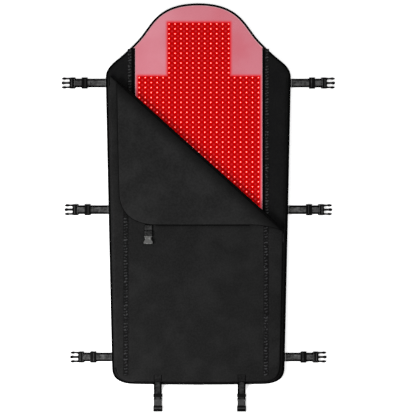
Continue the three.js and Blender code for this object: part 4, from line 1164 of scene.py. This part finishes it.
end_hinge_y = -0.820
for side_name in ("left", "right"):
    name = "end_webbing_" + side_name
    low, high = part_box(name)
    start = Vector(((low.x + high.x) / 2, end_hinge_y, 0))
    profile = [(0.0014, 0.0387), (0.008, 0.0384), (0.014, 0.0370), (0.022, 0.0317), (0.031, 0.0212)]
    profile += [(0.0405, 0.0115), (0.0465, 0.0062), (0.056, 0.0052), (0.0755, 0.0046)]
    profile += loop_round(0.0835, 0.0065) + [(0.078, 0.0092), (0.070, 0.0078), (0.0585, 0.0075)]
    width, body = high.x - low.x + end_extra, "end_strap_" + side_name
    webbing("end_belt_" + side_name, name, body, start, (0, -1), profile, width, end_cloth)
    name = "end_patch_" + side_name
    low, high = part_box(name)
    start = Vector(((low.x + high.x) / 2, high.y, 0))
    lie = (low.z + high.z) / 2
    length = high.y - low.y
    profile = [(0.0, lie), (length * 0.3, lie + 0.0001), (length * 0.7, lie), (length, lie)]
    width = high.x - low.x + patch_extra
    label = "end_patch_belt_" + side_name
    webbing(label, name, "cover", start, (0, -1), profile, width, patch_cloth, 1)
    box_stitch(
        "end_patch_stitches_" + side_name,
        (low.x + 0.004, high.y - 0.003, high.z + 0.0002),
        (high.x - 0.004, low.y + 0.006, high.z),
        "cover",
    )

low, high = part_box("flap_webbing")
start = Vector(((low.x + high.x) / 2, high.y + 0.001, 0))
bar = high.y - low.y - 0.0032
profile = [(0.0012, 0.0447), (0.012, 0.0437), (0.026, 0.0420), (bar - 0.010, 0.0414)]
profile += loop_round(bar, 0.0447) + [(bar - 0.008, 0.0474), (bar - 0.020, 0.0462)]
width = high.x - low.x + flap_extra
webbing("flap_belt", "flap_webbing", "flap_strap", start, (0, -1), profile, width, end_cloth, 1)


# ---- Buckles, adjusters and keepers
# Acetal side-release buckles: male halves on the side straps, female halves with paler face
# panels on the end straps and the flap strap, with black ladder adjusters and keepers.
black_acetal = moulding("black_acetal", tint(4, 4, 4), tint(13, 13, 13), rough=0.45, gloss=0.06)
# Pale acetal: a painted highlight on the male buckles' grip bands, and the paler face panels and adjuster
# ribs.
pale_and_highlight_acetal = moulding("pale_and_highlight_acetal", tint(54, 54, 54), tint(82, 82, 82), 900.0, 0.4, gloss=0.12)
grey_acetal = moulding("grey_acetal", tint(76, 76, 75), tint(146, 146, 144), 900.0, 0.34, gloss=0.35)


def level(x, y, depth):
    return 0.0


def oblong(start, end, half_width):
    """Half the plan of a rectangle, in millimetres."""
    return [(start, 0), (start, half_width), (end, half_width), (end, 0)]


def moulded(name, half, origin, way, low, high, material, body, edge=0.0006, spacing=0.003, upper=level):
    """A moulding with a symmetric plan: half its outline as (out, aside) in millimetres."""
    way = Vector((*way, 0)).normalized()
    side = Vector((-way.y, way.x, 0))
    whole = list(half) + [(a, -b) for a, b in reversed(half) if b]
    plan = [origin + way * a / 1000 + side * b / 1000 for a, b in whole]
    rim = rounded([(p.x, p.y) for p in plan], 0.0022)
    if turned_area(rim) < 0:
        rim = rim[::-1]
    made = pad(name, rim, low, high, edge, spacing, upper, material)
    fit(made, "grey_moulding" if material is grey_acetal else "black_moulding", body)
    return made


panel_sunk, rod_radius = 0.0008, 0.0021
male_half = [
    (4.4, 0), (4.4, 20.6), (-2.2, 20.6), (-2.2, 23.8), (-0.5, 26.3), (6, 26.5), (14, 26.5), (21, 26.4),
    (25.5, 25.4), (33, 24.4), (41, 24.6), (46, 26.0), (52, 26.5), (57, 25.6), (62.5, 22.2), (64.2, 19.4),
    (61, 16.8), (53, 15.0), (46.5, 15.0), (43.5, 16.4), (33, 16.4), (28.5, 15.6), (26.4, 13), (26.4, 7.2),
    (28.5, 5.2), (48, 5.0), (52, 6.6), (58, 7.0), (62.5, 5.2), (64.6, 2.2), (64.8, 0),
]
for side_name, sign in (("left", -1), ("right", 1)):
    for row_name in ("head", "middle", "foot"):
        label = f"{side_name}_{row_name}"
        body = "buckle_" + label
        low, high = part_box("male_buckle_" + label)
        tip = low.x if sign < 0 else high.x
        bar = Vector((tip - sign * 0.0649, (low.y + high.y) / 2, 0))

        def slimmer(x, y, depth, bar_x=bar.x):
            """The arms and the guide are thinner than the body."""
            return -0.0016 if abs(x - bar_x) > 0.028 else 0.0

        made = moulded(
            "male_buckle_shell_" + label, male_half, bar, (sign, 0), low.z, high.z, black_acetal, body,
            0.0020, 0.0028, slimmer,
        )
        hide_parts("male_buckle_" + label)
        rod = [(bar.x, bar.y + k * 0.004, 0.006) for k in range(-5, 6)]
        rod_right = np.tile([[1.0, 0.0]], (len(rod), 1))
        turns = [k * math.pi / 6 for k in range(12)]
        ring = [(rod_radius * math.cos(t), rod_radius * math.sin(t)) for t in turns]
        crossbar = swept("male_buckle_bar_" + label, rod, rod_right, ring, black_acetal)
        fit(crossbar, "black_moulding", body)
        # Painted highlight: a pale band across the buckle's top stands for the glint on its grip.
        moulded(
            "male_buckle_grip_" + label, oblong(15.0, 18.5, 18.0), bar, (sign, 0), high.z - panel_sunk,
            high.z + 0.0005, pale_and_highlight_acetal, body,
        )
        dress(black_acetal, "adjuster_" + label, bevel=0.0010)
        low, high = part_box("adjuster_" + label)
        middle = Vector(((low.x + high.x) / 2, (low.y + high.y) / 2, 0))
        for name, half, material, rise in (
            ("adjuster_bars_", oblong(-13.4, 13.4, 25.6), black_acetal, 0.0006),
            ("adjuster_rib_", oblong(1.2, 3.6, 19.5), pale_and_highlight_acetal, 0.0010),
        ):
            moulded(
                name + label, half, middle, (-sign, 0), high.z - panel_sunk, high.z + rise, material,
                "slide_" + label,
            )


def face_plates(name, node, body, reach, plates):
    """Raised panels on top of a female buckle: half plans from the bar, and each one's finish."""
    low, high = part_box(node)
    bar = Vector(((low.x + high.x) / 2, low.y + reach, 0))
    for i, (half, material) in enumerate(plates):
        moulded(
            f"{name}_{i + 1}", half, bar, (0, -1), high.z - 0.0006, high.z + 0.0005, material, body,
            0.0005,
        )


for side_name in ("left", "right"):
    dress(black_acetal, "end_female_buckle_" + side_name, bevel=0.0012)
    dress(black_acetal, "end_keeper_" + side_name, bevel=0.0006)
    keeper_low, keeper_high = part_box("end_keeper_" + side_name)
    middle = (keeper_low + keeper_high) / 2
    moulded(
        "end_keeper_face_" + side_name, oblong(-6.6, 6.6, 20.9), Vector((middle.x, middle.y, 0)), (0, -1),
        keeper_high.z - panel_sunk, keeper_high.z + 0.0006, black_acetal, "end_slide_" + side_name,
    )
    face = [(2.0, 0), (2.0, 15.5), (9, 16.2), (24, 15.6), (30.5, 16.4), (30.5, 0)]
    face_plates(
        "end_buckle_face_" + side_name, "end_female_buckle_" + side_name, "end_buckle_" + side_name,
        0.060, [(face, pale_and_highlight_acetal), (oblong(41.5, 45.5, 18.0), pale_and_highlight_acetal)],
    )
# The grey buckle's body is dressed black: painted shade round its outline, leaving only its face plate grey.
dress(black_acetal, "flap_female_buckle", bevel=0.0012)
face = [(4.6, 0), (4.6, 19.6), (6.5, 18.4), (12, 14.6), (22, 14.2), (27.5, 18.4)]
face += [(32, 20.9), (41.5, 20.4), (41.5, 0)]
face_plates("flap_buckle_face", "flap_female_buckle", "flap_buckle", 0.044, [(face, grey_acetal)])


# ---- Power inlet
# A small moulded inlet is let into the foot edge between the ends of the binding, with two
# round pins in its socket. The thermal cut-out inside the mat is moulded in the same black.
pin_brass = moulding("plated_pins", tint(180, 150, 90), tint(210, 185, 130), 400.0, 0.25, metal=0.9)
dress(black_acetal, "power_inlet", bevel=0.0006)
dress(black_acetal, "thermal_cutout", bevel=0.0006)
dress(pin_brass, "inlet_pin_left", "inlet_pin_right", bevel=0)
